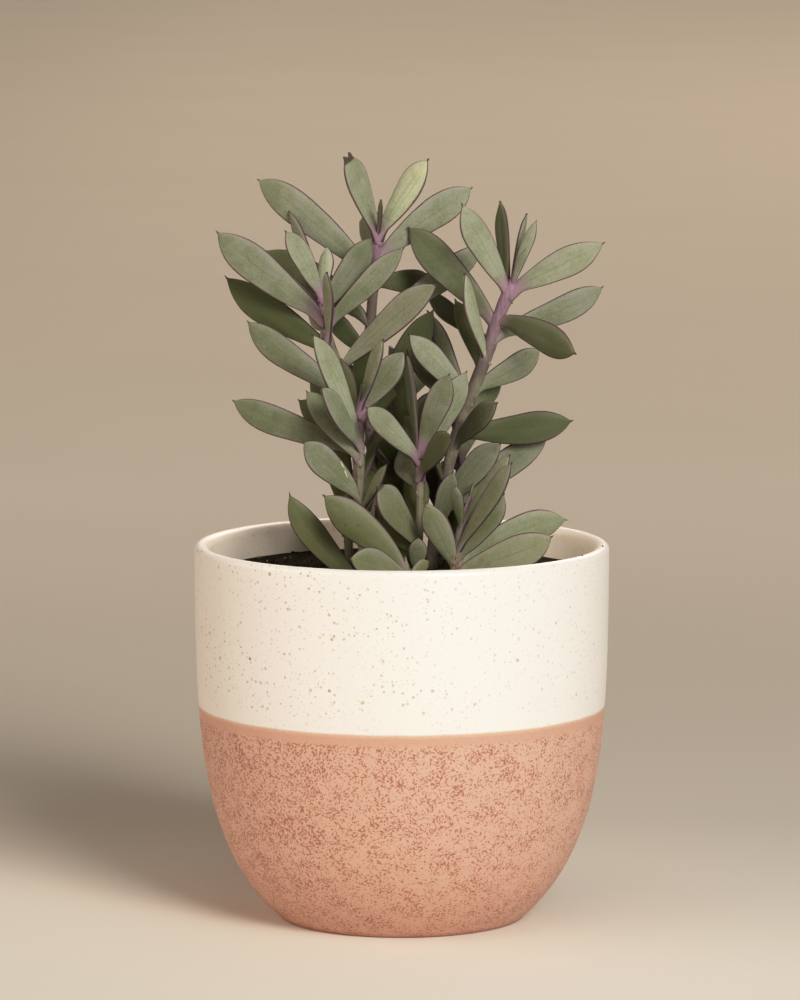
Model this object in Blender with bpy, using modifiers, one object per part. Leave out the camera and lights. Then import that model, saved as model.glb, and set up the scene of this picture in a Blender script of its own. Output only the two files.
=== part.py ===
"""A potted vertical leaf senecio: a planter glazed in two colours, its soil and ten leafy stems.

Metres, +Z up. The origin is the centre of the pot's base, on the surface that it stands on, and -Y is the
front. The sizes and places below are in millimetres, and MM turns them into metres.
"""

from collections import namedtuple
from math import cos, pi, radians, sin

import bmesh
import bpy
from mathutils import Vector

MM = 0.001

# The driving dimensions of the pot and the soil.
POT_RADIUS = 70.0
POT_HEIGHT = 127.5
FOOT_RADIUS = 39.8
FOOT_EDGE = 0.9
WALL = 5.0
FLOOR_HEIGHT = 7.0
LIP_CREST_RADIUS = 68.0
LIP_OUTER_ROUND = 2.0
LIP_INNER_ROUND = 3.0
BAND_HEIGHT = 72.9
SOIL_HEIGHT = 118.0
SOIL_DIP = 1.0
CLEARANCE = 0.3

# The pot's side bulges as a superellipse: flat at the shoulder and turning in quickly near the foot.
BULGE_TOP = 172.76
BULGE_DROP = 187.84
BULGE_FALL = 5.452
BULGE_ROUND = 1.8728

# Heights of the rows of points on the outer side and on the inside, top to bottom.
OUTER_ROWS = (118, 105, 92, 82, BAND_HEIGHT, 64, 54, 44, 35, 27, 20, 14, 9, 5, 2.5, FOOT_EDGE)
INNER_ROWS = (112, 95, 75, 55, 38, 24, 14)
TURN_STEPS = 52

# The stems stand in plain holes in the soil.
STEM_FOOT = 100.0
STEM_SIDES_LEVEL = 2
HOLE_SIDES = 16

# A leaf's outline, from its foot at 0 to its point at 1, is widest past the middle and narrow at the foot.
LEAF_STATIONS = (0.0, 0.14, 0.33, 0.54, 0.74, 0.91, 1.0)
LEAF_WIDEST = 0.60
LEAF_RISE = 0.93
LEAF_FALL = 0.62
LEAF_FOOT_WIDTH = 0.22
LEAF_POINT_WIDTH = 0.7
LEAF_THICKNESS = 1.6
LEAF_EDGE_THICKNESS = 0.7
LEAF_POINT_THINNING = 0.9

# A leaf grows from the stem at the height `at` and ends at `tip`. Its blade stands on edge, `turn` degrees
# out of the upright plane through its midrib, and `bow` arches it upwards by that share of its length.
Leaf = namedtuple("Leaf", "at tip width bow turn", defaults=(0.0, 0))

# A stem's spine starts at the soil. Its radius runs from the first value, at the foot, to the second.
Stem = namedtuple("Stem", "spine radius leaves")

STEMS = {
    "stem_tall_centre": Stem(
        spine=[
            (-8, 11, 121),
            (-9, 11, 141),
            (-11, 10, 168),
            (-11, 9, 192),
            (-10, 8, 209),
            (-8, 7, 229),
            (-8, 7, 235),
        ],
        radius=(2.1, 1.9),
        leaves=[
            Leaf(222, (-49, 14, 249), 11, bow=-0.04),
            Leaf(230, (-19, -5, 260), 8.4),
            Leaf(231, (9, -9, 258), 9, bow=0.03),
            Leaf(225, (24, 10, 247), 10.5, bow=-0.01),
            Leaf(230, (-7, -5, 244), 2.4, turn=20),
            Leaf(230, (-9, 17, 239), 2.2, turn=20),
            Leaf(227, (-14, 27, 234), 10),
            Leaf(214, (11, 28, 206), 10, bow=0.08),
            Leaf(205, (28, 19, 227), 9.5),
            Leaf(202, (-47, 19, 225), 11, bow=0.02),
            Leaf(191, (-27, 16, 205), 10.5),
            Leaf(179, (11, 10, 206), 10),
            Leaf(218, (-10, 44, 222), 11),
            Leaf(197, (-6, 42, 197), 11),
            Leaf(184, (-26, 36, 178), 10),
            Leaf(162, (-16, 41, 179), 9),
        ],
    ),
    "stem_tall_left": Stem(
        spine=[
            (-12, 5, 121),
            (-14, 5, 141),
            (-16, 4, 165),
            (-20, 1, 185),
            (-24, -1, 195),
            (-26, -2, 202),
            (-27, -3, 215),
        ],
        radius=(1.9, 1.5),
        leaves=[
            Leaf(211, (-39, -10, 234), 8, bow=0.02),
            Leaf(212, (-38, 10, 239), 5.5, bow=0.02),
            Leaf(210, (-25, 8, 227), 5.5, turn=70),
            Leaf(197, (-25, -20, 221), 7.5),
            Leaf(204, (-62, -10, 234), 11.5),
            Leaf(194, (-60, 4, 218), 11, bow=-0.02),
            Leaf(206, (-41, 12, 216), 9),
            Leaf(207, (-10, 1, 231), 10),
            Leaf(201, (1, -6, 228), 8),
            Leaf(177, (-52, -4, 203), 10),
            Leaf(175, (-39, 10, 190), 9),
            Leaf(187, (12, -32, 218), 10.5, bow=0.02),
            Leaf(200, (-32, 34, 207), 10.5),
            Leaf(185, (-28, 48, 189), 10.5),
            Leaf(163, (-37, 17, 180), 9),
        ],
    ),
    "stem_tall_right": Stem(
        spine=[
            (10, 7, 121),
            (12, 7, 134),
            (15, 6, 150),
            (19, 5, 165),
            (24, 4, 180),
            (28, 3, 192),
            (32, 2, 203),
            (36, 1, 212),
            (38, 0, 218),
        ],
        radius=(2.2, 2.6),
        leaves=[
            Leaf(212, (20, -8, 243), 9.8),
            Leaf(211, (32, 15, 242), 8.5, bow=0.03),
            Leaf(214, (42, 12, 238), 5, bow=0.03),
            Leaf(214, (45, -3, 237), 4.5, bow=0.03),
            Leaf(213, (41, -12, 230), 4, turn=60),
            Leaf(213, (68, -8, 230), 9.4),
            Leaf(197, (68, 6, 214), 9),
            Leaf(204, (58, -22, 194), 10, bow=0.10),
            Leaf(179, (47, 6, 193), 8.5),
            Leaf(169, (34, 16, 182), 8),
            Leaf(160, (32, -16, 177), 8.5),
            Leaf(164, (58, 2, 169), 11),
            Leaf(138, (34, -4, 164), 9),
            Leaf(139, (50, 8, 163), 10.5),
            Leaf(192, (21, -12, 220), 9.5),
            Leaf(202, (2, 6, 234), 11, bow=-0.01),
            Leaf(193, (7, 36, 207), 10),
            Leaf(186, (18, 12, 209), 8),
            Leaf(173, (9, 14, 205), 8),
            Leaf(176, (2, -6, 199), 9),
            Leaf(171, (3, 6, 192), 8),
            Leaf(202, (36, 34, 209), 10),
            Leaf(183, (28, 36, 192), 10),
            Leaf(165, (24, 34, 174), 10),
            Leaf(150, (36, 26, 160), 10),
        ],
    ),
    "stem_front_left": Stem(
        spine=[(-13, -9, 121), (-14, -9, 143), (-14, -9, 160), (-14, -9, 178)],
        radius=(1.8, 1.5),
        leaves=[
            Leaf(163, (-30, -27, 201), 9.6, bow=0.04),
            Leaf(161, (-27, -32, 184), 9),
            Leaf(157, (-32, -16, 181), 9),
            Leaf(159, (-35, 2, 176), 9),
            Leaf(160, (-57, -8, 177), 10.6, bow=-0.02),
            Leaf(144, (-33, -17, 164), 10),
            Leaf(123, (-38, -13, 147), 8.5, bow=-0.09),
            Leaf(174, (-10, 6, 193), 8),
            Leaf(174, (-6, -23, 199), 8),
            Leaf(173, (1, -14, 194), 9),
            Leaf(172, (2, 0, 193), 8),
            Leaf(169, (-21, -4, 192), 8),
            Leaf(176, (-13, -20, 184), 2.5),
            Leaf(148, (-6, 6, 164), 8),
            Leaf(139, (-5, -22, 157), 7),
        ],
    ),
    "stem_front_centre": Stem(
        spine=[(5, -10, 121), (6, -10, 135), (6, -10, 151), (6, -10, 165)],
        radius=(1.7, 1.4),
        leaves=[
            Leaf(157, (-12, -22, 176), 8.5, bow=0.02),
            Leaf(160, (2, -2, 192), 6.5, turn=60),
            Leaf(160, (16, -18, 187), 9, turn=20),
            Leaf(157, (22, -8, 187), 9.5),
            Leaf(152, (17, -30, 167), 9.5, bow=0.05),
            Leaf(147, (-1, 6, 158), 8),
            Leaf(159, (1, 6, 170), 7),
            Leaf(128, (-5, -23, 149), 9.5),
            Leaf(124, (-9, -6, 141), 8),
            Leaf(121, (9, -18, 129), 4),
        ],
    ),
    "stem_front_right": Stem(
        spine=[(18, -13, 121), (19, -13, 130), (21, -13, 138), (23, -13, 144)],
        radius=(1.7, 1.3),
        leaves=[
            Leaf(134, (18, -24, 150), 3.8, turn=60),
            Leaf(136, (36, -30, 161), 7),
            Leaf(127, (37, -34, 159), 9),
            Leaf(124, (33, 4, 149), 9),
            Leaf(123, (56, -4, 136), 9.5, bow=0.03),
            Leaf(123, (50, -26, 134), 12, bow=0.02),
            Leaf(123, (7, -38, 146), 8.5),
            Leaf(141, (24, -1, 148), 2.5),
        ],
    ),
    "shoot_front_low": Stem(
        spine=[(2, -24, 120), (1, -24, 125)],
        radius=(1.8, 1.5),
        leaves=[
            Leaf(123, (-26, -24, 146), 12),
            Leaf(122, (-18, -38, 132), 10, bow=0.10),
            Leaf(122, (10, -19, 132), 7),
        ],
    ),
    "stem_back_centre": Stem(
        spine=[(0, 22, 121), (0, 20, 146), (0, 18, 167), (0, 17, 182)],
        radius=(1.8, 1.4),
        leaves=[
            Leaf(176, (-4, 32, 191), 8),
            Leaf(173, (11, 30, 189), 9),
            Leaf(160, (13, 28, 176), 9),
            Leaf(164, (-8, 32, 182), 9),
            Leaf(170, (0, 48, 180), 9),
            Leaf(155, (-8, 50, 163), 10),
            Leaf(151, (8, 52, 161), 10),
            Leaf(145, (-11, 3, 162), 9),
            Leaf(139, (13, 30, 154), 9),
            Leaf(130, (1, 53, 142), 10),
            Leaf(124, (-8, 44, 134), 9),
        ],
    ),
    "stem_back_left": Stem(
        spine=[(-18, 24, 121), (-19, 25, 139), (-20, 26, 159)],
        radius=(1.7, 1.3),
        leaves=[
            Leaf(155, (-22, 11, 175), 8),
            Leaf(156, (-17, 34, 174), 8),
            Leaf(149, (-20, 52, 160), 10),
            Leaf(141, (-12, 54, 149), 10),
            Leaf(139, (-27, 42, 154), 9),
            Leaf(129, (-22, 50, 136), 9),
        ],
    ),
    "stem_back_right": Stem(
        spine=[(17, 25, 121), (19, 26, 139), (20, 27, 155)],
        radius=(1.7, 1.3),
        leaves=[
            Leaf(152, (17, 12, 174), 8),
            Leaf(152, (26, 34, 169), 8),
            Leaf(147, (21, 54, 158), 10),
            Leaf(139, (13, 54, 147), 10),
            Leaf(137, (34, 40, 153), 9),
            Leaf(127, (27, 48, 136), 9),
        ],
    ),
}


def clear_scene():
    for obj in list(bpy.data.objects):
        bpy.data.objects.remove(obj, do_unlink=True)


def new_collection(name):
    collection = bpy.data.collections.new(name)
    bpy.context.scene.collection.children.link(collection)
    return collection


def new_material(name, colour, roughness, coat=0.0):
    material = bpy.data.materials.new(name)
    material.use_nodes = True
    shader = material.node_tree.nodes["Principled BSDF"]
    shader.inputs["Base Color"].default_value = (*colour, 1.0)
    shader.inputs["Roughness"].default_value = roughness
    shader.inputs["Metallic"].default_value = 0.0
    shader.inputs["Coat Weight"].default_value = coat
    material.diffuse_color = (*colour, 1.0)
    return material


def object_from(bm, name, collection, *materials):
    """A new object that holds the bmesh's shape."""
    mesh = bpy.data.meshes.new(name)
    bm.to_mesh(mesh)
    bm.free()
    for material in materials:
        mesh.materials.append(material)
    obj = bpy.data.objects.new(name, mesh)
    collection.objects.link(obj)
    return obj


def apply_modifiers(obj):
    """Gives the object the mesh that its modifiers make."""
    bpy.context.view_layer.update()
    evaluated = obj.evaluated_get(bpy.context.evaluated_depsgraph_get())
    mesh = bpy.data.meshes.new_from_object(evaluated)
    obj.modifiers.clear()
    old = obj.data
    obj.data = mesh
    bpy.data.meshes.remove(old)
    mesh.name = obj.name


def shade_round(obj, angle):
    obj.data.shade_smooth()
    obj.data.set_sharp_from_angle(angle=radians(angle))


def turned(name, profile, collection, *materials):
    """A solid turned round the Z axis from a profile of (radius, height) that starts and ends on the axis."""
    bm = bmesh.new()
    points = [bm.verts.new((radius * MM, 0.0, height * MM)) for radius, height in profile]
    for start, end in zip(points, points[1:]):
        bm.edges.new((start, end))
    obj = object_from(bm, name, collection, *materials)
    screw = obj.modifiers.new("Turn", "SCREW")
    screw.steps = TURN_STEPS
    screw.render_steps = TURN_STEPS
    screw.use_merge_vertices = True
    screw.merge_threshold = 0.00001
    apply_modifiers(obj)
    return obj


def outer_radius(height):
    """The pot's outer radius at a height."""
    drop = (BULGE_TOP - height) / BULGE_DROP
    return POT_RADIUS * (1 - drop**BULGE_FALL) ** (1 / BULGE_ROUND)


def inner_radius(height):
    return outer_radius(height) - WALL


def quarter_round(centre, radius, start, steps=3):
    """Points on a quarter of a circle, turning left from the start angle."""
    turns = [radians(start + 90 * step / steps) for step in range(steps + 1)]
    return [(centre[0] + radius * cos(turn), centre[1] + radius * sin(turn)) for turn in turns]


def build_pot(collection, cream, terracotta):
    """One body: the bulging side, the rounded lip, the inside and its floor."""
    inner_lip = quarter_round((LIP_CREST_RADIUS, POT_HEIGHT - LIP_INNER_ROUND), LIP_INNER_ROUND, 90)
    outer_lip = quarter_round((LIP_CREST_RADIUS, POT_HEIGHT - LIP_OUTER_ROUND), LIP_OUTER_ROUND, 0)
    inside = [(inner_radius(height), height) for height in INNER_ROWS]
    outside = [(outer_radius(height), height) for height in OUTER_ROWS]
    floor_radius = inner_radius(FLOOR_HEIGHT) - WALL
    profile = [(0.0, FLOOR_HEIGHT), (floor_radius, FLOOR_HEIGHT)]
    profile += reversed(inside)
    profile += reversed(inner_lip)
    profile += reversed(outer_lip[:-1])
    profile += outside
    profile += [(FOOT_RADIUS, 0.0), (0.0, 0.0)]
    pot = turned("pot", profile, collection, cream, terracotta)
    for face in pot.data.polygons:
        middle = face.center / MM
        within = middle.xy.length < outer_radius(max(middle.z, 0.0)) - WALL / 2
        is_inside = within and middle.z > FLOOR_HEIGHT / 2
        face.material_index = 0 if is_inside or middle.z > BAND_HEIGHT else 1
    shade_round(pot, 40)
    return pot


def build_soil(collection, cutters, material):
    """The soil fills the pot, with a plain hole for each stem."""
    edge_height = SOIL_HEIGHT - SOIL_DIP
    side = [(inner_radius(height) - CLEARANCE, height) for height in INNER_ROWS]
    floor_height = FLOOR_HEIGHT + CLEARANCE
    floor_radius = inner_radius(FLOOR_HEIGHT) - WALL - CLEARANCE
    profile = [(0.0, SOIL_HEIGHT), (POT_RADIUS / 2, SOIL_HEIGHT)]
    profile += [(inner_radius(edge_height) - CLEARANCE, edge_height)]
    profile += side
    profile += [(floor_radius, floor_height), (0.0, floor_height)]
    soil = turned("soil", profile, collection, material)
    for name, stem in STEMS.items():
        drill_hole(name, stem, cutters)
    cut = soil.modifiers.new("Stem holes", "BOOLEAN")
    cut.operation = "DIFFERENCE"
    cut.operand_type = "COLLECTION"
    cut.collection = cutters
    shade_round(soil, 40)
    return soil


def drill_hole(name, stem, cutters):
    """The cutter of a stem's hole: upright, a little wider than the stem and a little deeper."""
    x, y, _ = stem.spine[0]
    bottom = STEM_FOOT - CLEARANCE
    top = SOIL_HEIGHT + WALL
    radius = (stem.radius[0] + CLEARANCE) / cos(pi / HOLE_SIDES)
    bm = bmesh.new()
    bmesh.ops.create_cone(
        bm,
        cap_ends=True,
        segments=HOLE_SIDES,
        radius1=radius * MM,
        radius2=radius * MM,
        depth=(top - bottom) * MM,
    )
    hole = object_from(bm, "hole_" + name, cutters)
    hole.location = (x * MM, y * MM, (top + bottom) / 2 * MM)
    hole.hide_render = True
    hole.display_type = "WIRE"


def build_stem_body(name, stem, collection, material):
    """The bare stem: a tapering tube along its spine, upright below the soil."""
    x, y, _ = stem.spine[0]
    places = [(x, y, STEM_FOOT), *stem.spine]
    curve = bpy.data.curves.new(name, "CURVE")
    curve.dimensions = "3D"
    curve.bevel_depth = MM
    curve.bevel_resolution = STEM_SIDES_LEVEL
    curve.resolution_u = 2
    curve.use_fill_caps = True
    spline = curve.splines.new("BEZIER")
    spline.bezier_points.add(len(places) - 1)
    foot_radius, top_radius = stem.radius
    for index, (point, place) in enumerate(zip(spline.bezier_points, places)):
        share = max(index - 1, 0) / (len(places) - 2)
        point.co = Vector(place) * MM
        point.radius = foot_radius + (top_radius - foot_radius) * share
        point.handle_left_type = "AUTO"
        point.handle_right_type = "AUTO"
    point.radius = top_radius / 2
    straight = Vector((x, y, (STEM_FOOT + stem.spine[0][2]) / 2)) * MM
    spline.bezier_points[0].handle_right_type = "FREE"
    spline.bezier_points[0].handle_right = straight
    source = bpy.data.objects.new(name + "_curve", curve)
    collection.objects.link(source)
    bpy.context.view_layer.update()
    evaluated = source.evaluated_get(bpy.context.evaluated_depsgraph_get())
    mesh = bpy.data.meshes.new_from_object(evaluated)
    mesh.transform(source.matrix_world)
    bpy.data.objects.remove(source)
    bpy.data.curves.remove(curve)
    bm = bmesh.new()
    bm.from_mesh(mesh)
    bpy.data.meshes.remove(mesh)
    bmesh.ops.remove_doubles(bm, verts=bm.verts, dist=0.00001)
    return object_from(bm, name, collection, material)


def leaf_blank():
    """A slab one unit long, two wide and two thick, with both faces split into triangles alike."""
    blank = bmesh.new()
    runs = len(LEAF_STATIONS) - 1
    bmesh.ops.create_grid(blank, x_segments=runs, y_segments=2, size=1.0)
    bmesh.ops.triangulate(blank, faces=blank.faces, quad_method="FIXED")
    raised = bmesh.ops.extrude_face_region(blank, geom=blank.faces[:], use_keep_orig=True)
    top = [item for item in raised["geom"] if isinstance(item, bmesh.types.BMVert)]
    for vert in blank.verts:
        vert.co.x = (vert.co.x + 1) / 2
        vert.co.z = -1.0
    for vert in top:
        vert.co.z = 1.0
    bmesh.ops.recalc_face_normals(blank, faces=blank.faces)
    return blank


def half_width(share, width):
    """Half of the leaf's width, at a share of its length from the foot."""
    peak = LEAF_WIDEST**LEAF_RISE * (1 - LEAF_WIDEST) ** LEAF_FALL
    blade = share**LEAF_RISE * (1 - share) ** LEAF_FALL / peak
    foot = LEAF_FOOT_WIDTH * max(1 - 2 * share, 0.0)
    return max((blade + foot) * width, LEAF_POINT_WIDTH) / 2


def on_spine(stem, height):
    """The place on the stem's spine at a height, in millimetres."""
    for low, high in zip(stem.spine, stem.spine[1:]):
        if height <= high[2] or high is stem.spine[-1]:
            share = (height - low[2]) / (high[2] - low[2])
            return Vector(low).lerp(Vector(high), min(max(share, 0.0), 1.0))


def build_leaf(blank, stem, leaf, collection, material):
    """A leaf bent from the blank: its foot lies in the stem, and its blade stands on edge."""
    foot = on_spine(stem, leaf.at)
    midrib = Vector(leaf.tip) - foot
    along = midrib.normalized()
    upward = (Vector((0, 0, 1)) - along * along.z).normalized()
    side = along.cross(upward)
    turn = radians(leaf.turn)
    across = upward * cos(turn) + side * sin(turn)
    outward = side * cos(turn) - upward * sin(turn)
    bm = blank.copy()
    for vert in bm.verts:
        share = LEAF_STATIONS[round(vert.co.x * (len(LEAF_STATIONS) - 1))]
        thickness = LEAF_THICKNESS if abs(vert.co.y) < 0.5 else LEAF_EDGE_THICKNESS
        if share == 1.0:
            thickness *= LEAF_POINT_THINNING
        arch = 4 * share * (1 - share) * leaf.bow * midrib.length
        place = foot + midrib * share + upward * arch
        place += across * vert.co.y * half_width(share, leaf.width)
        place += outward * vert.co.z * thickness / 2
        vert.co = place * MM
    return object_from(bm, "leaf", collection, material)


def build_leafy_stem(name, stem, collection, bark, green):
    """The stem with its leaves fused to it as one body."""
    body = build_stem_body(name, stem, collection, bark)
    leaves = new_collection("leaves of " + name)
    blank = leaf_blank()
    for leaf in stem.leaves:
        build_leaf(blank, stem, leaf, leaves, green)
    blank.free()
    fuse = body.modifiers.new("Fuse leaves", "BOOLEAN")
    fuse.operation = "UNION"
    fuse.operand_type = "COLLECTION"
    fuse.collection = leaves
    fuse.material_mode = "TRANSFER"
    apply_modifiers(body)
    for obj in list(leaves.objects):
        mesh = obj.data
        bpy.data.objects.remove(obj)
        bpy.data.meshes.remove(mesh)
    bpy.data.collections.remove(leaves)
    shade_round(body, 35)
    return body


def main():
    clear_scene()
    part = new_collection("potted_senecio")
    cutters = new_collection("cutters")
    cutters.hide_render = True
    cream = new_material("cream_glaze", (0.86, 0.80, 0.70), 0.38, coat=0.15)
    terracotta = new_material("terracotta_glaze", (0.62, 0.31, 0.22), 0.62)
    soil = new_material("dark_soil", (0.018, 0.015, 0.011), 0.95)
    bark = new_material("mauve_stem", (0.22, 0.16, 0.18), 0.60)
    green = new_material("sage_leaf", (0.20, 0.25, 0.16), 0.55)
    build_pot(part, cream, terracotta)
    build_soil(part, cutters, soil)
    for name, stem in STEMS.items():
        build_leafy_stem(name, stem, part, bark, green)


main()
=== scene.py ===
"""A potted vertical leaf senecio on its stage: glazed pot, soil, stems, leaves and dry fibres.

Metres, +Z up. The origin is the centre of the pot's base, on the surface that it stands on, and
-Y is the front. The tables below are in millimetres, and MM turns them into metres.
"""

import random
from collections import namedtuple
from math import cos, exp, pi, radians, sin

import bmesh
import bpy
from mathutils import Euler, Matrix, Vector


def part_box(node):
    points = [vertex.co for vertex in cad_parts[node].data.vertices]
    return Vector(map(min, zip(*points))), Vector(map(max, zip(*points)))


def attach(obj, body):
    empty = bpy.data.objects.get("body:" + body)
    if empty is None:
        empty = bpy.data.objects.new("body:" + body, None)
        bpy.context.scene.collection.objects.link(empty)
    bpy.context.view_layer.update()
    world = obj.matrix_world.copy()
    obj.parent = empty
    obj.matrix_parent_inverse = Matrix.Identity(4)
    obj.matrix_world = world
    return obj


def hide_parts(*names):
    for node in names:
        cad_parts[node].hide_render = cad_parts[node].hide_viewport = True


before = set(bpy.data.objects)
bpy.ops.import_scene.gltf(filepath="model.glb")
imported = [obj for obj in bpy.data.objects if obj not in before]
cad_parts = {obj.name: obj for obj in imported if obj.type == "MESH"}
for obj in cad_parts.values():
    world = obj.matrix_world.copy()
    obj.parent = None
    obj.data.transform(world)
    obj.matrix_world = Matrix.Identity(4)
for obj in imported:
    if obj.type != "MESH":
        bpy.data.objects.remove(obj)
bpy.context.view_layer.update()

bl_info = {
    "name": "Potted senecio",
    "version": (1, 0, 0),
    "blender": (4, 5, 0),
    "location": "3D View > Sidebar > Senecio",
    "description": "Builds a potted upright senecio piece by piece in a small studio",
    "category": "Object",
}

MM = 0.001
BODY = "root"

# The pot's side bulges as a superellipse: flat at the shoulder, turning in quickly at the foot.
BULGE_TOP = 172.76
BULGE_DROP = 187.84
BULGE_FALL = 5.452
BULGE_ROUND = 1.8728
LIP_CREST_RADIUS = 68.0
LIP_OUTER_ROUND = 2.0
LIP_INNER_ROUND = 3.0
LIP_STEPS = 7
FOOT_ROWS = ((39.8, 0.0), (40.9, 0.12), (41.6, 0.4), (41.95, 0.9))
FLOOR_HEIGHT = 7.0
FLOOR_INSET = 5.0
POT_SIDES = 160
# Rows of points on the pot's side: the first height, the last one, and the steps between them.
OUTER_SPANS = ((2.5, 15, 6), (18, 118, 30))
INNER_SPAN = (118, 14, 16)

SOIL_HEIGHT = 118.0
SOIL_DIP = 1.0
SOIL_GAP = 0.3
SOIL_FOOT = 14.0
SOIL_SIDES = 128
SOIL_RINGS = 44
# Clods on the soil, large and small: their size and how much they lift it, in metres.
CLODS = ((0.0045, 0.0016), (0.0016, 0.0008))
CRUMB_COUNT = 560
CRUMB_SMALLEST = 0.7
CRUMB_SPREAD = 2.2
CRUMB_WALL_GAP = 2.0
CRUMB_FADE = 20.0
# Two bits of soil on the lip: how far round from the right, in degrees, and their size.
LIP_BITS = ((-8, 0.8), (-28.6, 0.7))
LIP_BIT_RADIUS = 68.2
LIP_BIT_HEIGHT = 127.6

# The camera's place, and its tilt up from straight down.
CAMERA_PLACE = (-0.0006, -2.0, 0.4)
CAMERA_TILT = 90 - 7.35

# Brightness as it is lit, and as the picture shows it. Below the first pair both are the same.
HIGHLIGHTS = ((0.6, 0.6), (0.857, 0.79), (1.04, 0.9), (1.3, 1.0))
WHITE_LEVEL = HIGHLIGHTS[-1][0]

# A leaf's outline, from its foot at 0 to its point at 1, is widest past the middle.
LEAF_RISE = 0.93
LEAF_FALL = 3.6
LEAF_FOOT_WIDTH = 0.22
LEAF_POINT_START = 0.975
LEAF_POINT_WIDTH = 0.05
LEAF_END_WIDTH = 0.012
# It thins out from the first share of its length on, and is swollen at its foot up to the second.
LEAF_END_START = 0.8
LEAF_END_THINNING = 0.55
LEAF_FOOT_END = 0.12
LEAF_FOOT_SWELL = 0.25
LEAF_ROWS = (
    0, 0.02, 0.045, 0.08, 0.12, 0.17, 0.23, 0.30, 0.37, 0.44, 0.51, 0.58, 0.64,
    0.70, 0.755, 0.805, 0.85, 0.885, 0.915, 0.94, 0.96, 0.973, 0.982, 0.991, 1,
)
# Places across a leaf, from its middle at 0 to its margin at 1, and its share of thickness there.
LEAF_LANES = ((0, 0.93), (0.12, 1.0), (0.45, 0.9), (0.78, 0.66), (0.93, 0.4), (1, 0.19))

# Narrow leaves are thinner, down to the first share of a full leaf's thickness.
LEAF_THINNEST = 0.45
LEAF_WIDE = 14
# Each leaf gets its own curl, cup, twist in degrees, pinch at the foot and bluntness, up to these.
LEAF_CURL = 0.014
LEAF_CUP = 0.09
LEAF_TWIST = 6
LEAF_PINCH = 0.3
LEAF_BLUNT = 0.25
# A bent leaf is furthest from the straight line between its ends here.
LEAF_BEND = 0.65
# A leaf's foot clasps the stem: it droops, widens and thickens over this share of its length.
GRIP_SHARE = 0.15
GRIP_DROOP = 2.4

STEM_FOOT = 100.0
STEM_SIDES = 10
STEM_EASE = 4.0
# A stem is a little thicker around each leaf's joint.
STEM_SLIM = 0.94
JOINT_SWELL = 0.13
JOINT_DROP = 1.5
JOINT_REACH = 1.6
# Its top tapers to a bud.
BUD_LENGTH = 7.0
BUD_TAPER = 0.62
BUD_POINT = 1.2
BUD_POINT_RADIUS = 0.25
# The small leaves of a bud are mauve further up.
BUD_LEAF_WIDTH = 6
BUD_LEAF_REACH = 8
BUD_LEAF_FRESH = 1.8
# Stems and the feet of leaves are mauve over these lengths below the stem's top. On a stem that
# is shorter than the last two lengths they are less so.
STEM_FRESH_LENGTH = 30.0
LEAF_FRESH_LENGTH = 26.0
STEM_GROWN = 30
LEAF_GROWN = 40

# A leaf grows from the stem at the height `at` and ends at `tip`. Its blade stands on edge, `turn`
# degrees out of the upright plane through its midrib. `bow` arches it upwards by that share of its
# length, `blunt` widens it towards the point, and the share `dry` at its end is withered and
# ragged. `tone` runs from dark leaves, at 0, to yellow-green young ones, at 1. Besides a leaf's age
# it
# paints light and shade: shaded leaves get low tones and near-black green, and lit ones higher
# tones.
Leaf = namedtuple("Leaf", "at tip width tone bow turn blunt dry", defaults=(0.0, 0, None, 0.0))

# A stem's spine starts at the soil. Its radius runs from the first value, at the foot, to the
# second, at the top.
Stem = namedtuple("Stem", "spine radius leaves")

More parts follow.
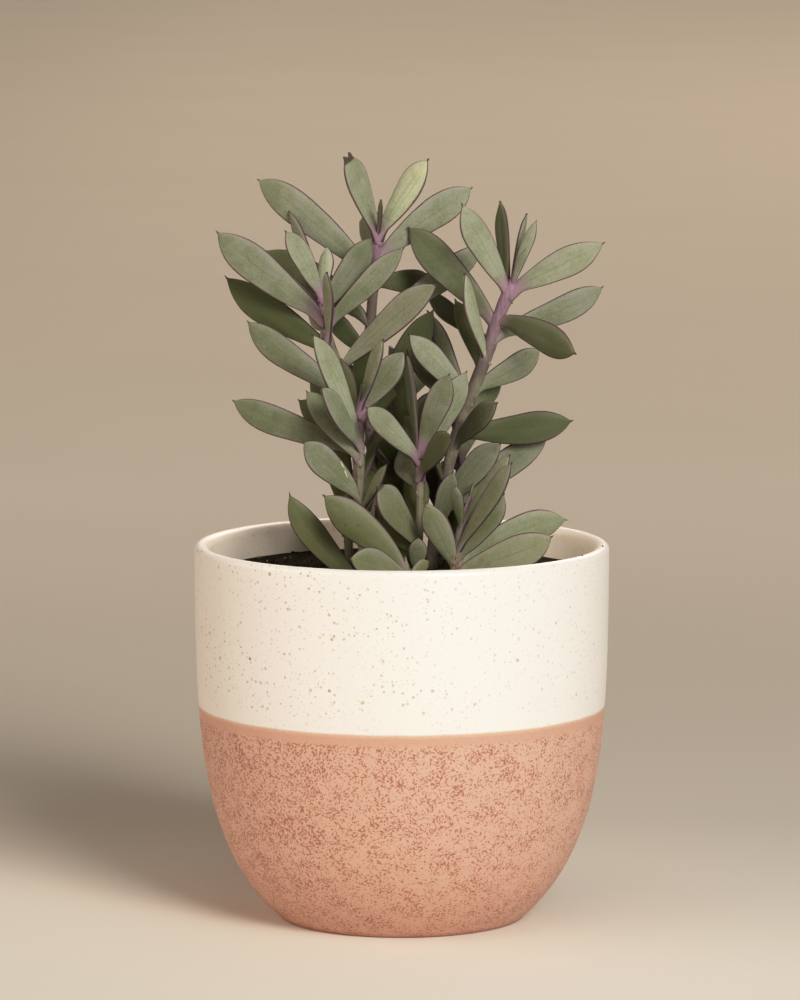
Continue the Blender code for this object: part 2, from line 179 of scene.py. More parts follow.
STEMS = {
    "stem_tall_centre": Stem(
        spine=[
            (-8, 11, 121),
            (-9, 11, 141),
            (-11, 10, 168),
            (-11, 9, 192),
            (-10, 8, 209),
            (-8, 7, 229),
            (-8, 7, 235),
        ],
        radius=(2.1, 1.9),
        leaves=[
            Leaf(217.5, (-49, 14, 249.4), 11.4, 0.44, bow=0.022, blunt=0.35),
            Leaf(230, (-19, -5, 259), 10, 0.62, bow=0.035, dry=0.11),
            Leaf(231, (9, -9, 258), 9.9, 1, bow=0.01),
            Leaf(224, (24, 10, 247), 10.8, 0.54, bow=0.012),
            Leaf(230, (-7, -5, 244), 3, 0.2, turn=20),
            Leaf(230, (-9, 17, 239), 2.6, 0.2, turn=20),
            Leaf(227, (-14, 27, 234), 10, 0.4),
            Leaf(215, (12, 28, 209), 9, 0.1, bow=0.09),
            Leaf(200, (28, 19, 227.6), 9.5, 0.4, bow=-0.02),
            Leaf(202, (-47, 19, 225), 11, 0.15, bow=0.02),
            Leaf(189.5, (-26, 14, 205), 7, 0.1),
            Leaf(167, (11, 10, 206), 10.5, 0.05),
            Leaf(218, (-10, 44, 222), 11, 0.4),
            Leaf(197, (-6, 42, 197), 11, 0.3),
            Leaf(184, (-26, 36, 178), 10, 0.3),
            Leaf(162, (-16, 41, 179), 9, 0.3),
        ],
    ),
    "stem_tall_left": Stem(
        spine=[
            (-12, 5, 121),
            (-14, 5, 141),
            (-16, 4, 165),
            (-20, 1, 185),
            (-24, -1, 195),
            (-26, -2, 202),
            (-27, -3, 215),
        ],
        radius=(1.9, 1.5),
        leaves=[
            Leaf(211, (-39, -10, 234), 8, 0.64, bow=0.02),
            Leaf(212, (-38, 10, 239), 5.5, 0.3, bow=0.02),
            Leaf(210, (-25, 8, 227), 5.8, 0.8, turn=70),
            Leaf(197, (-25, -20, 221), 7.5, 0.5, turn=29),
            Leaf(204, (-62, -10, 234), 12, 0.36, bow=-0.018),
            Leaf(192.3, (-59.6, 4, 217.8), 10.8, 0.06, bow=-0.032),
            Leaf(206, (-41, 12, 216), 9, 0.3),
            Leaf(207, (-10, 1, 231), 9.6, 0.22, bow=-0.015),
            Leaf(201, (1, -6, 228), 8, 0.35),
            Leaf(177, (-52, -4, 203.4), 9.8, 0.3, bow=-0.03),
            Leaf(172, (-31, 10, 183), 9, 0.1, bow=-0.02),
            Leaf(187, (12, -32, 218), 10.5, 0.5, bow=0.02),
            Leaf(200, (-32, 34, 207), 10.5, 0.3),
            Leaf(185, (-28, 48, 189), 10.5, 0.3),
            Leaf(163, (-30, 20, 172), 9, 0.15),
        ],
    ),
    "stem_tall_right": Stem(
        spine=[
            (10, 7, 121),
            (12, 7, 134),
            (15, 6, 150),
            (19, 5, 165),
            (24.5, 4, 180),
            (29, 3, 192),
            (32, 2, 203),
            (36, 1, 212),
            (38, 0, 218),
        ],
        radius=(2.2, 2.6),
        leaves=[
            Leaf(212, (20, -8, 243), 9.8, 0.65, bow=-0.021),
            Leaf(211, (33.2, 15, 242), 7, 0.12, bow=0.03, turn=27),
            Leaf(214, (42.2, 12, 238), 3.8, 0.3, bow=0.01),
            Leaf(214, (45.2, -3, 237), 4.2, 0.6, bow=0.01),
            Leaf(213, (41.4, -9, 228), 2.4, 0.5, turn=60),
            Leaf(213, (68, -8, 230), 10.2, 0.66, bow=-0.008, blunt=-0.1),
            Leaf(197, (68, 6, 214), 9.4, 0.4, bow=-0.035, blunt=0.3),
            Leaf(204, (58, -22, 193.6), 11.3, 0.14, bow=0.022, blunt=0.25),
            Leaf(179, (46.8, 6, 193.2), 8.8, 0.42, bow=-0.045),
            Leaf(169, (34, 16, 182), 8, 0.2),
            Leaf(160, (32, -16, 177), 8.5, 0.2),
            Leaf(164, (58, 2, 169), 11, 0.09, bow=-0.026),
            Leaf(138, (33.8, -4, 162), 9.8, 0.42, bow=0.03),
            Leaf(137, (50, 8, 163), 9.8, 0.38, bow=0.005),
            Leaf(190, (21, -12, 220), 9.2, 0.72, bow=-0.03),
            Leaf(202, (2, 6, 234), 11.4, 0.16, bow=0.005),
            Leaf(195, (8, 36, 209), 8, 0.0),
            Leaf(186, (18, 12, 209), 8, 0.1),
            Leaf(173, (8.6, 14, 205), 7.2, 0.2),
            Leaf(176, (2, -6, 199), 9, 0.6),
            Leaf(171, (3, 6, 192), 8, 0.2),
            Leaf(202, (36, 34, 209), 10, 0.4),
            Leaf(183, (28, 36, 192), 10, 0.3),
            Leaf(165, (24, 34, 174), 10, 0.3),
            Leaf(143, (36, 26, 151), 10, 0.3),
            Leaf(129, (17.5, 0, 152), 7, 0.38, turn=45),
            Leaf(146, (8, 0, 166), 7, 0.05, turn=40),
        ],
    ),
    "stem_front_left": Stem(
        spine=[(-13, -9, 121), (-14, -9, 143), (-14, -9, 160), (-14, -9, 178)],
        radius=(1.8, 1.5),
        leaves=[
            Leaf(163, (-30, -27, 201), 9.6, 0.7, bow=0.04),
            Leaf(161, (-27, -32, 184), 9, 0.5),
            Leaf(157, (-32, -16, 181), 9, 0.4),
            Leaf(159, (-35, 2, 176), 9, 0.1),
            Leaf(159.5, (-57, -8, 177), 10, 0.22, bow=-0.022, blunt=0.35),
            Leaf(144, (-33, -17, 164), 10, 0.4),
            Leaf(113, (-37.6, -13, 146.5), 9.4, 0.12, bow=-0.06),
            Leaf(174, (-12, 6, 193), 8.5, 0.05, turn=75),
            Leaf(174, (-6, -23, 199), 7, 0.5),
            Leaf(173, (1, -14, 194), 9, 0.4),
            Leaf(172, (2, 0, 193), 8, 0.2),
            Leaf(167, (-20.3, -4, 190.5), 6.5, 0.1),
            Leaf(176, (-13, -20, 184), 2.5, 0.2),
            Leaf(148, (-6, 6, 168), 9, 0.05, turn=50),
            Leaf(139, (-5, -22, 157), 4.5, 0.3),
            Leaf(134, (-10, 4, 152), 9, 0.05, turn=60),
        ],
    ),
    "stem_front_centre": Stem(
        spine=[(5, -10, 121), (6, -10, 135), (6, -10, 151), (6, -10, 165)],
        radius=(1.7, 1.4),
        leaves=[
            Leaf(157, (-12, -22, 176), 8.5, 0.62, bow=0.02),
            Leaf(160, (2, -2, 192), 7, 0.3),
            Leaf(160, (16, -18, 187), 9, 0.3, turn=20),
            Leaf(157, (22, -8, 187), 9.5, 0.45),
            Leaf(152, (17, -30, 167), 9.5, 0.1, bow=0.05),
            Leaf(147, (-1, 6, 158), 9, 0.5, turn=50),
            Leaf(159, (1, 6, 170), 7, 0.2),
            Leaf(128, (-8, -23, 150), 11, 0.3, blunt=0.35, dry=0.07),
            Leaf(124, (-9, -6, 141), 8, 0.1),
            Leaf(119, (5.5, -17, 131.8), 6.4, 0.55, turn=85, blunt=-0.15),
            Leaf(134, (4, 6, 152), 9, 0.05, turn=75),
        ],
    ),
    "stem_front_right": Stem(
        spine=[(18, -13, 121), (19, -13, 130), (21, -13, 138), (23, -13, 144)],
        radius=(2.0, 1.6),
        leaves=[
            Leaf(134, (18, -24, 150), 4.6, 0.5, turn=75, blunt=0.4),
            Leaf(136, (36, -30, 161), 7, 0.6),
            Leaf(127, (36.5, -34, 159), 7.2, 0.42),
            Leaf(124, (34.5, -16, 146.5), 10, 0.25),
            Leaf(123, (56, -4, 135.6), 11, 0.62, bow=0.062),
            Leaf(119, (50.5, -26, 133.5), 11.6, 0.67, bow=-0.03),
            Leaf(121, (7.8, -24, 144.6), 9.2, 0.6, turn=-50, blunt=-0.12),
            Leaf(141, (24, -1, 148), 2.5, 0.3),
        ],
    ),
    "shoot_front_low": Stem(
        spine=[(2, -24, 120), (1, -24, 125)],
        radius=(1.8, 1.5),
        leaves=[
            Leaf(123, (-26.5, -24, 147), 12, 0.19),
            Leaf(119, (-17.5, -38, 127), 10, 0.4, bow=0.05),
            Leaf(119, (9, -19, 124), 5, 0.3),
        ],
    ),
    # The near-black leaves turned across the view, with tones of 0 and 0.05, low on the back stems
    # are painted shade: they fill the plant's dark depth.
    "stem_back_centre": Stem(
        spine=[(0, 22, 121), (0, 20, 146), (0, 18, 167), (0, 17, 182)],
        radius=(1.8, 1.4),
        leaves=[
            Leaf(176, (-4, 32, 191), 8, 0.3),
            Leaf(173, (11, 30, 189), 9, 0.3),
            Leaf(160, (13, 28, 176), 9, 0.2),
            Leaf(164, (-8, 32, 182), 9, 0.2),
            Leaf(170, (0, 48, 180), 9, 0.3),
            Leaf(155, (-8, 50, 163), 10, 0.3),
            Leaf(151, (8, 52, 161), 10, 0.3),
            Leaf(145, (-11, 3, 162), 9, 0.05, turn=60),
            Leaf(139, (13, 30, 154), 9, 0.1),
            Leaf(130, (1, 53, 142), 10, 0.3),
            Leaf(124, (-8, 44, 134), 9, 0.3),
            Leaf(121, (4, 4, 137), 10, 0.05, turn=80),
            Leaf(133, (-9, 7, 148), 9, 0.05, turn=70),
            Leaf(163, (1, 4, 187), 9, 0.05, turn=80),
            Leaf(130, (-6, 8, 168), 12, 0.0, turn=80),
        ],
    ),
    "stem_back_left": Stem(
        spine=[(-18, 24, 121), (-19, 25, 139), (-20, 26, 159)],
        radius=(1.7, 1.3),
        leaves=[
            Leaf(155, (-22, 11, 175), 8, 0.2),
            Leaf(156, (-17, 34, 174), 8, 0.3),
            Leaf(149, (-20, 52, 160), 10, 0.3),
            Leaf(141, (-12, 54, 149), 10, 0.3),
            Leaf(139, (-27, 42, 154), 9, 0.3),
            Leaf(129, (-22, 50, 136), 9, 0.3),
            Leaf(128, (-17, 8, 144), 7, 0.05, turn=60),
            Leaf(132, (-23, 8, 166), 11, 0.0, turn=75),
        ],
    ),
    "stem_back_right": Stem(
        spine=[(17, 25, 121), (19, 26, 139), (20, 27, 155)],
        radius=(1.7, 1.3),
        leaves=[
            Leaf(152, (17, 12, 174), 8, 0.2),
            Leaf(152, (26, 34, 169), 8, 0.3),
            Leaf(147, (21, 54, 158), 10, 0.3),
            Leaf(139, (13, 54, 147), 10, 0.3),
            Leaf(137, (34, 40, 153), 9, 0.3),
            Leaf(127, (27, 48, 136), 9, 0.3),
            Leaf(126, (22, 9, 142), 9, 0.05, turn=60),
            Leaf(126, (7, 8, 158), 11, 0.0, turn=80),
        ],
    ),
}

# Dry fibres: colour, the points that each follows, and its thickness at the foot.
FIBRES = (
    ("red", [(16, -18, 118), (16.5, -18.5, 121.2), (18, -18.5, 124.4), (18.5, -18, 127.2)], 0.92),
    ("red", [(20.5, -18, 118), (19, -19, 120.8), (17, -19, 123.2), (16, -18, 125.6)], 0.86),
    ("red", [(17, -19, 118), (18.5, -19, 120.4), (20.5, -18.5, 123.2), (20.8, -18, 125.2)], 0.8),
    ("red", [(15, -18, 118.8), (17, -19, 120.4), (19, -19, 121.6), (21, -18, 122)], 0.69),
    ("red", [(18, -19.5, 118), (17.5, -19.5, 120.8), (19, -19.5, 123.6), (18, -19, 126)], 0.69),
    (
        "pale",
        [(-20.3, -27, 159), (-19.5, -27.5, 156.5), (-18.4, -27.5, 154), (-17.6, -27, 151.5)],
        0.6,
    ),
)
FIBRE_SIDES = 6
FIBRE_TAPER = 0.55

# A Mix node's two colours and its mixed one, by their places among its sockets.
MIX_FIRST, MIX_SECOND, MIX_RESULT = 6, 7, 2


class Signal:
    """A node's output that takes part in sums as a number or a colour would."""

    def __init__(self, tree, socket=None):
        self.tree = tree
        self.socket = socket

    def node(self, kind, inputs=None, output=0, **settings):
        """A new node, set up first and then given its values and links."""
        node = self.tree.nodes.new(kind)
        for name, value in settings.items():
            setattr(node, name, value)
        for name, value in (inputs or {}).items():
            if isinstance(value, Signal):
                self.tree.links.new(value.socket, node.inputs[name])
            else:
                node.inputs[name].default_value = value
        return Signal(self.tree, node.outputs[output])

    def beside(self, output):
        """Another output of the same node."""
        return Signal(self.tree, self.socket.node.outputs[output])

    def math(self, operation, first, second=0.0):
        return self.node("ShaderNodeMath", {0: first, 1: second}, operation=operation)

    def __add__(self, other):
        return self.math("ADD", self, other)

    def __radd__(self, other):
        return self.math("ADD", other, self)

    def __sub__(self, other):
        return self.math("SUBTRACT", self, other)

    def __rsub__(self, other):
        return self.math("SUBTRACT", other, self)

    def __mul__(self, other):
        return self.math("MULTIPLY", self, other)

    def __rmul__(self, other):
        return self.math("MULTIPLY", other, self)

    def __abs__(self):
        return self.math("ABSOLUTE", self)

    def root(self):
        return self.math("SQRT", self)

    def at_least(self, other):
        """The larger of the two."""
        return self.math("MAXIMUM", self, other)

    def rise(self, low, high):
        """0 below low, 1 above high and smooth between, or the reverse where low is above high."""
        return self.node(
            "ShaderNodeMapRange",
            {"Value": self, "From Min": low, "From Max": high},
            interpolation_type="SMOOTHSTEP",
        )

    def blend(self, nought, one):
        """The first colour where this is 0 and the second where it is 1."""
        inputs = {0: self}
        for place, colour in ((MIX_FIRST, nought), (MIX_SECOND, one)):
            inputs[place] = colour if isinstance(colour, Signal) else (*colour, 1.0)
        return self.node("ShaderNodeMix", inputs, output=MIX_RESULT, data_type="RGBA")

    def shift(self, other):
        """This place moved by another vector."""
        return self.node("ShaderNodeVectorMath", {0: self, 1: other}, operation="ADD")

    def stretch(self, factors):
        """This place with each of its three numbers multiplied."""
        return self.node("ShaderNodeVectorMath", {0: self, 1: factors}, operation="MULTIPLY")

    def parts(self):
        """The three numbers of a place."""
        first = self.node("ShaderNodeSeparateXYZ", {0: self})
        return first, first.beside(1), first.beside(2)

    def cloud(self, size, detail=2.0, roughness=0.5):
        """Cloudy noise around 0.5 at this place, with features about as wide as size."""
        inputs = {"Vector": self, "Scale": 1 / size, "Detail": detail, "Roughness": roughness}
        return self.node("ShaderNodeTexNoise", inputs)

    def spots(self, spacing, radius, share):
        """1 in round spots, 0 outside. Each cell of a loose net has one with the chance share."""
        distance = self.node("ShaderNodeTexVoronoi", {"Vector": self, "Scale": 1 / spacing})
        red = self.node("ShaderNodeSeparateColor", {0: distance.beside("Color")})
        reach = (red.beside(1) * 0.9 + 0.35) * (radius / spacing)
        inside = (reach - distance).rise(-0.12 * radius / spacing, 0.12 * radius / spacing)
        return inside * red.rise(share + 0.01, share - 0.01)


class Finish:
    """A material whose colour, roughness and relief come from nodes."""

    def __init__(self, name, **fixed):
        self.material = bpy.data.materials.new(name)
        self.material.use_nodes = True
        tree = self.material.node_tree
        self.shader = tree.nodes["Principled BSDF"]
        for socket, value in fixed.items():
            self.shader.inputs[socket.replace("_", " ")].default_value = value
        self.source = Signal(tree)
        self.place = self.source.node("ShaderNodeTexCoord", output="Object")

    def attribute(self, name):
        """The piece's own number with this name."""
        return self.source.node("ShaderNodeAttribute", output="Fac", attribute_name=name)

    def feed(self, socket, signal):
        self.source.tree.links.new(signal.socket, self.shader.inputs[socket])

    def relief(self, height, depth):
        """Raises the surface by the height, from 0 to 1, times the depth in metres."""
        bump = self.source.node("ShaderNodeBump", {"Height": height, "Distance": depth})
        self.feed("Normal", bump)


def only(obj):
    """Selects this object alone and makes it active."""
    bpy.ops.object.select_all(action="DESELECT")
    obj.select_set(True)
    bpy.context.view_layer.objects.active = obj


def select_where(obj, test):
    """In edit mode, selects the vertices that the test names, and no others."""
    bm = bmesh.from_edit_mesh(obj.data)
    bm.select_mode = {"VERT"}
    for vert in bm.verts:
        vert.select = test(vert)
    bm.select_flush_mode()
    bmesh.update_edit_mesh(obj.data)


def place_in_mesh(obj):
    only(obj)
    bpy.ops.object.transform_apply(location=True, rotation=True, scale=True)


def start_ring(name, centre, radius, sides):
    """A new filled circle in edit mode, with its rim selected, ready to be extruded."""
    bpy.ops.object.select_all(action="DESELECT")
    bpy.ops.mesh.primitive_circle_add(
        vertices=sides, radius=radius, fill_type="NGON", location=centre
    )
    ring = bpy.context.object
    ring.name = name
    ring.data.name = name
    place_in_mesh(ring)
    bpy.ops.object.mode_set(mode="EDIT")
    bpy.ops.mesh.select_mode(type="EDGE")
    bpy.ops.mesh.select_all(action="SELECT")
    return ring


def extrude_ring(move, centre, growth):
    """Extrudes the selected rim, moves it, and scales it about its new centre."""
    bpy.ops.mesh.extrude_edges_move(TRANSFORM_OT_translate={"value": move})
    bpy.ops.transform.resize(value=(growth, growth, 1), center_override=centre)


def close_ring():
    """Fills the selected rim, turns the faces outwards and leaves edit mode."""
    bpy.ops.mesh.edge_face_add()
    bpy.ops.mesh.select_all(action="SELECT")
    bpy.ops.mesh.normals_make_consistent(inside=False)
    bpy.ops.object.mode_set(mode="OBJECT")


def extrude_profile(name, profile, sides):
    """A closed round solid: a circle extruded through each (radius, height), in millimetres."""
    radius, height = profile[0]
    solid = start_ring(name, (0, 0, height * MM), radius * MM, sides)
    for row in profile[1:]:
        extrude_ring((0, 0, (row[1] - height) * MM), (0, 0, 0), row[0] / radius)
        radius, height = row
    close_ring()
    return solid


def extrude_path(name, places, radii, sides):
    """A closed round rod: a circle extruded through these places, in millimetres."""
    solid = start_ring(name, Vector(places[0]) * MM, radii[0] * MM, sides)
    for step in range(1, len(places)):
        move = (Vector(places[step]) - Vector(places[step - 1])) * MM
        extrude_ring(move, Vector(places[step]) * MM, radii[step] / radii[step - 1])
    close_ring()
    return solid


def write_numbers(mesh, name, numbers):
    """Keeps a number for each vertex under this name, for the materials to read."""
    layer = mesh.attributes.new(name, "FLOAT", "POINT")
    layer.data.foreach_set("value", numbers)


def joined(copies, name):
    """Joins the objects into one with this name."""
    bpy.ops.object.select_all(action="DESELECT")
    for copy in copies:
        copy.select_set(True)
    bpy.context.view_layer.objects.active = copies[0]
    bpy.ops.object.join()
    whole = bpy.context.object
    whole.name = name
    whole.data.name = name
    return whole


def apply_all(obj):
    only(obj)
    for modifier in list(obj.modifiers):
        bpy.ops.object.modifier_apply(modifier=modifier.name)


def smoothed(obj, levels):
    """Rounds the object off with a subdivision surface and smooth shading."""
    smooth = obj.modifiers.new("Smooth", "SUBSURF")
    smooth.levels = levels
    smooth.render_levels = levels
    apply_all(obj)
    bpy.ops.object.shade_smooth()
    return obj


def new_copy(name, mesh):
    """A new object with this mesh, in the scene."""
    copy = bpy.data.objects.new(name, mesh)
    bpy.context.collection.objects.link(copy)
    return copy


def finish_piece(obj, material, slot, *nodes):
    """Gives the piece its material and its place in the part."""
    obj.data.materials.clear()
    obj.data.materials.append(material)
    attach(obj, BODY)
    if nodes:
        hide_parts(*nodes)


def outer_radius(height):
    """The pot's outer radius at a height, in millimetres."""
    drop = (BULGE_TOP - height) / BULGE_DROP
    return bpy.context.scene.senecio_pot.radius / MM * (1 - drop**BULGE_FALL) ** (1 / BULGE_ROUND)


def inner_radius(height):
    return outer_radius(height) - bpy.context.scene.senecio_pot.wall / MM


def quarter_round(centre, radius, start, steps):
    """Points on a quarter of a circle, turning left from the start angle."""
    turns = [radians(start + 90 * step / steps) for step in range(steps + 1)]
    return [(centre[0] + radius * cos(turn), centre[1] + radius * sin(turn)) for turn in turns]


def spread(low, high, steps):
    """Evenly spaced values from low to high."""
    return [low + (high - low) * step / steps for step in range(steps + 1)]


def pot_profile(height):
    """The pot's section from the foot up the outside, over the lip and down to the inner floor."""
    outside = [(outer_radius(row), row) for span in OUTER_SPANS for row in spread(*span)]
    outer_centre = (LIP_CREST_RADIUS, height - LIP_OUTER_ROUND)
    inner_centre = (LIP_CREST_RADIUS, height - LIP_INNER_ROUND)
    outer_lip = quarter_round(outer_centre, LIP_OUTER_ROUND, 0, LIP_STEPS)
    inner_lip = quarter_round(inner_centre, LIP_INNER_ROUND, 90, LIP_STEPS)
    inside = [(inner_radius(row), row) for row in spread(*INNER_SPAN)]
    floor_radius = inner_radius(FLOOR_HEIGHT) - FLOOR_INSET
    floor = [(floor_radius, FLOOR_HEIGHT), (floor_radius / 2, FLOOR_HEIGHT)]
    return [*FOOT_ROWS, *outside, *outer_lip, *inner_lip[1:], *inside, *floor]


def glaze(settings):
    """Speckled cream above the band, a plain salmon strip on it, and speckled terracotta below."""
    finish = Finish("two_colour_glaze", IOR=1.5, Coat_Roughness=0.22)
    place = finish.place
    x, y, height = place.parts()
    wander = place.cloud(0.012, 1.0)
    level = height + wander * 0.0006 - (settings.band_height + 0.0003)
    above = level.rise(-0.0004, 0.0006)
    strip = level.rise(-settings.strip_height - 0.0009, -settings.strip_height + 0.0009)

    # Cream: large and small specks and dust, denser in places and on the left, faint at the band.
    # Sparser to the right, they paint the highlight that washes specks out there.
    bent = place.shift(place.cloud(0.0009, 1.0).beside("Color").stretch((0.0006, 0.0006, 0.0006)))
    crowd_and_highlight = place.cloud(0.017, 2.0).rise(0.36, 0.62) * (0.35 + 0.65 * x.rise(0.062, -0.045))
    large = bent.spots(0.0034, 0.00052, 0.4) * (0.55 + 0.45 * crowd_and_highlight)
    small = bent.spots(0.0016, 0.00042, 0.55) * (0.25 + 0.75 * crowd_and_highlight)
    dust = bent.spots(0.0010, 0.00028, 0.6)
    fade = level.rise(0.0, 0.010)
    speck = large.at_least(small * 0.85).at_least(dust * (0.12 + 0.3 * crowd_and_highlight))
    speck = speck * (0.3 + 0.7 * fade)
    milky = place.cloud(0.02, 3.0).blend(settings.cream, settings.cream_shade)
    hue = place.cloud(0.004).rise(0.35, 0.6).blend(settings.speck, settings.speck_dark)
    cream = (speck * 0.8).blend(milky, hue)
    # Inside the pot a warmer, brighter glaze with fainter specks is painted light: it stands for
    # the warm light that falls on the inner wall.
    inside = (x * x + y * y).root().rise(0.0672, 0.0658)
    cream = inside.blend(cream, (speck * 0.3).blend(settings.painted_light_lining, hue))

    # Terracotta: dark dots and worm-like blots, denser in herds and on the left, and pale spots.
    worm = place.cloud(0.00075, 2.0, 0.6)
    herd = place.cloud(0.0055, 2.0, 0.6)
    left = x.rise(0.0, -0.06)
    dots = bent.spots(0.00095, 0.00028, 0.75) * (herd + left * 0.08).rise(0.34, 0.56)
    blots = (worm * 0.78 + herd * 0.22 + left * 0.028).rise(0.53, 0.58)
    grain = blots.at_least(dots * 0.85)
    pale = bent.spots(0.0036, 0.0003, 0.12)
    drift = place.cloud(0.03, 2.0)
    clay = drift.blend(settings.clay, settings.clay_light)
    clay = (grain * 0.92).blend(clay, settings.clay_dark)
    clay = (pale * 0.6).blend(clay, settings.strip_edge)
    # Darker towards the bottom: over the lowest 35 mm this is painted shade, and the lowest 2 mm is
    # darker still.
    foot = height.rise(0.0022, 0.0002) * 0.5 + height.rise(0.035, 0.0) * 0.24
    clay = foot.blend(clay, settings.clay_dark)
    # The plain strip, and the peach line where it meets the cream.
    band = drift.blend(settings.strip, settings.strip_warm)
    lower = (strip * 0.92).blend(clay, band)
    edge = (abs(level + 0.0004) * -1).rise(-0.0009, -0.0002) * (0.35 + 0.65 * worm.rise(0.42, 0.6))
    lower = (edge * 0.6).blend(lower, settings.strip_edge)
    finish.feed("Base Color", above.blend(lower, cream))

    smudge = place.cloud(0.025, 3.0)
    glossy = 0.30 + smudge * 0.1 + speck * 0.1
    matt = 0.50 + smudge * 0.1 - grain * 0.08
    finish.feed("Roughness", matt + (glossy - matt) * above)
    finish.feed("Coat Weight", above * 0.2 + 0.03)
    rough = (1 - above) * (grain * 0.35 + worm * 0.25) + above * (0.12 * worm - 0.35 * speck)
    finish.relief(rough, 0.00007)
    return finish.material


def soil_finish(settings):
    """Dark potting mix with browner crumbs."""
    finish = Finish("potting_mix", Specular_IOR_Level=0.15)
    place = finish.place
    clods = place.cloud(0.0035, 4.0, 0.6)
    fibre = place.cloud(0.0009, 3.0, 0.7)
    brown = (clods * 0.7 + fibre * 0.5).rise(0.52, 0.8)
    colour = brown.blend(settings.soil_dark, settings.soil_brown)
    finish.feed("Base Color", colour)
    finish.feed("Roughness", 0.82 + fibre * 0.2)
    finish.relief(clods * 0.7 + fibre * 0.3, 0.0009)
    return finish.material


def crumb_finish(settings):
    """Crumbs of the mix, from black to brown, with a few paler bits."""
    finish = Finish("soil_crumbs", Specular_IOR_Level=0.15)
    place = finish.place
    tone = finish.attribute("crumb_tone")
    fibre = place.cloud(0.0006, 3.0, 0.7)
    mixed = (tone + (fibre - 0.5) * 0.8).rise(0.35, 1.0)
    colour = mixed.blend(settings.soil_dark, settings.soil_brown)
    colour = tone.rise(0.955, 0.975).blend(colour, settings.soil_pale)
    finish.feed("Base Color", colour)
    finish.feed("Roughness", 0.75 + fibre * 0.25)
    finish.relief(fibre, 0.0004)
    return finish.material


def leaf_finish(settings):
    """Waxy sage green: mottled, pale with bloom, dark at margin and point, mauve at the foot."""
    finish = Finish("waxy_leaf", IOR=1.42, Specular_IOR_Level=0.3)
    tone = finish.attribute("leaf_tone_and_painted_light")
    seed = finish.attribute("leaf_seed")
    fresh = finish.attribute("leaf_fresh")
    dry = finish.attribute("leaf_dry")
    uv = finish.source.node("ShaderNodeUVMap", uv_map="leaf")
    along, across, _ = uv.parts()
    offset = finish.source.node("ShaderNodeCombineXYZ", {0: seed, 1: seed * 0.37, 2: seed * 1.9})
    place = finish.place.shift(offset)
    patches = place.cloud(0.011, 2.0)
    mottle = place.cloud(0.0026, 3.0, 0.6)
    grain = place.cloud(0.0007, 2.0, 0.6)
    middle = abs(across - 0.5) * 2
    lane = uv.stretch((2.2, 15.0, 1.0)).shift(offset.stretch((40.0, 40.0, 40.0)))
    veins = lane.cloud(1.0, 2.0)

    # The leaf's green by its tone, which paints light and shade as well as age, mottled, under a
    # waxy bloom that old and shaded leaves have less of.
    green = tone.rise(0.0, 0.3).blend(settings.leaf_painted_shade, settings.leaf_old)
    green = tone.rise(0.25, 0.62).blend(green, settings.leaf_sage)
    green = tone.rise(0.58, 1.0).blend(green, settings.leaf_young)
    dim = (patches * 0.5 + mottle * 0.5).rise(0.56, 0.36)
    green = (dim * 0.24).blend(green, settings.leaf_shade)
    green = (grain.rise(0.52, 0.34) * 0.22).blend(green, settings.leaf_shade)
    film = tone.rise(-0.1, 0.45)
    bloom = (patches * 0.55 + grain * 0.32 + mottle * 0.2).rise(0.38, 0.84) * film
    green = (bloom * 0.44).blend(green, settings.leaf_bloom)
    # Veins: faint lengthwise ones, the midrib and one to either side.
    green = (veins.rise(0.5, 0.36) * 0.08).blend(green, settings.leaf_shade)
    rib = middle.rise(0.07, 0.015) * (0.2 + 0.5 * mottle) * along.rise(0.95, 0.6)
    side_rib = abs(middle - 0.4 - (patches - 0.5) * 0.3).rise(0.05, 0.012)
    side_rib = side_rib * mottle.rise(0.4, 0.6) * along.rise(0.85, 0.6)
    green = (rib * 0.62 + side_rib * 0.26).blend(green, settings.leaf_shade)
    # Blemishes.
    stain = place.cloud(0.0065, 3.0, 0.6).rise(0.56, 0.72) * film
    green = (stain * 0.26).blend(green, settings.leaf_stain)
    frayed = place.shift(place.cloud(0.0012, 2.0).beside("Color").stretch((0.0012, 0.0012, 0.0012)))
    bruise = frayed.spots(0.008, 0.0009, 0.3)
    green = (bruise * 0.3).blend(green, settings.leaf_shade)
    freckle = frayed.spots(0.0045, 0.0005, 0.2)
    green = (freckle * 0.45).blend(green, settings.leaf_margin)
    # Painted shade near the soil, a mauve tint with a painted highlight along the margins and the
    # mauve foot, then the dark margin and point.
    low = finish.place.parts()[2].rise(0.160, 0.135)
    green = (low * 0.22).blend(green, settings.leaf_low_painted_shade)
    # A mauve tint along both margins; stronger and paler along the upper one, it paints a highlight
    # there.
    margin_tint_and_highlight = (across + (patches - 0.5) * 0.25).rise(0.74, 0.95) * film
    green = (margin_tint_and_highlight * 0.3).blend(green, settings.leaf_mauve_and_highlight)
    margin_tint_and_highlight = (across - (patches - 0.5) * 0.25).rise(0.2, 0.02) * film
    green = (margin_tint_and_highlight * 0.22).blend(green, settings.leaf_mauve_and_highlight)
    foot = (along + (mottle - 0.5) * 0.1).rise(fresh * 0.22 + 0.1, 0.05) * (fresh * 0.7 + 0.3)
    green = foot.blend(green, settings.mauve)
    line = (middle + (mottle - 0.5) * 0.06).rise(0.9, 0.965) * (0.65 + 0.75 * patches)
    green = (line * 0.85).blend(green, settings.leaf_margin)
    point = (along + (mottle - 0.5) * 0.03 + dry).rise(0.955, 0.988)
    green = (point * 0.9).blend(green, settings.leaf_point)
    finish.feed("Base Color", green)
    finish.feed("Roughness", 0.46 + bloom * 0.16 + grain * 0.08 - rib * 0.1)
    finish.relief(mottle * 0.4 + veins * 0.2 + grain * 0.4, 0.00016)
    return finish.material


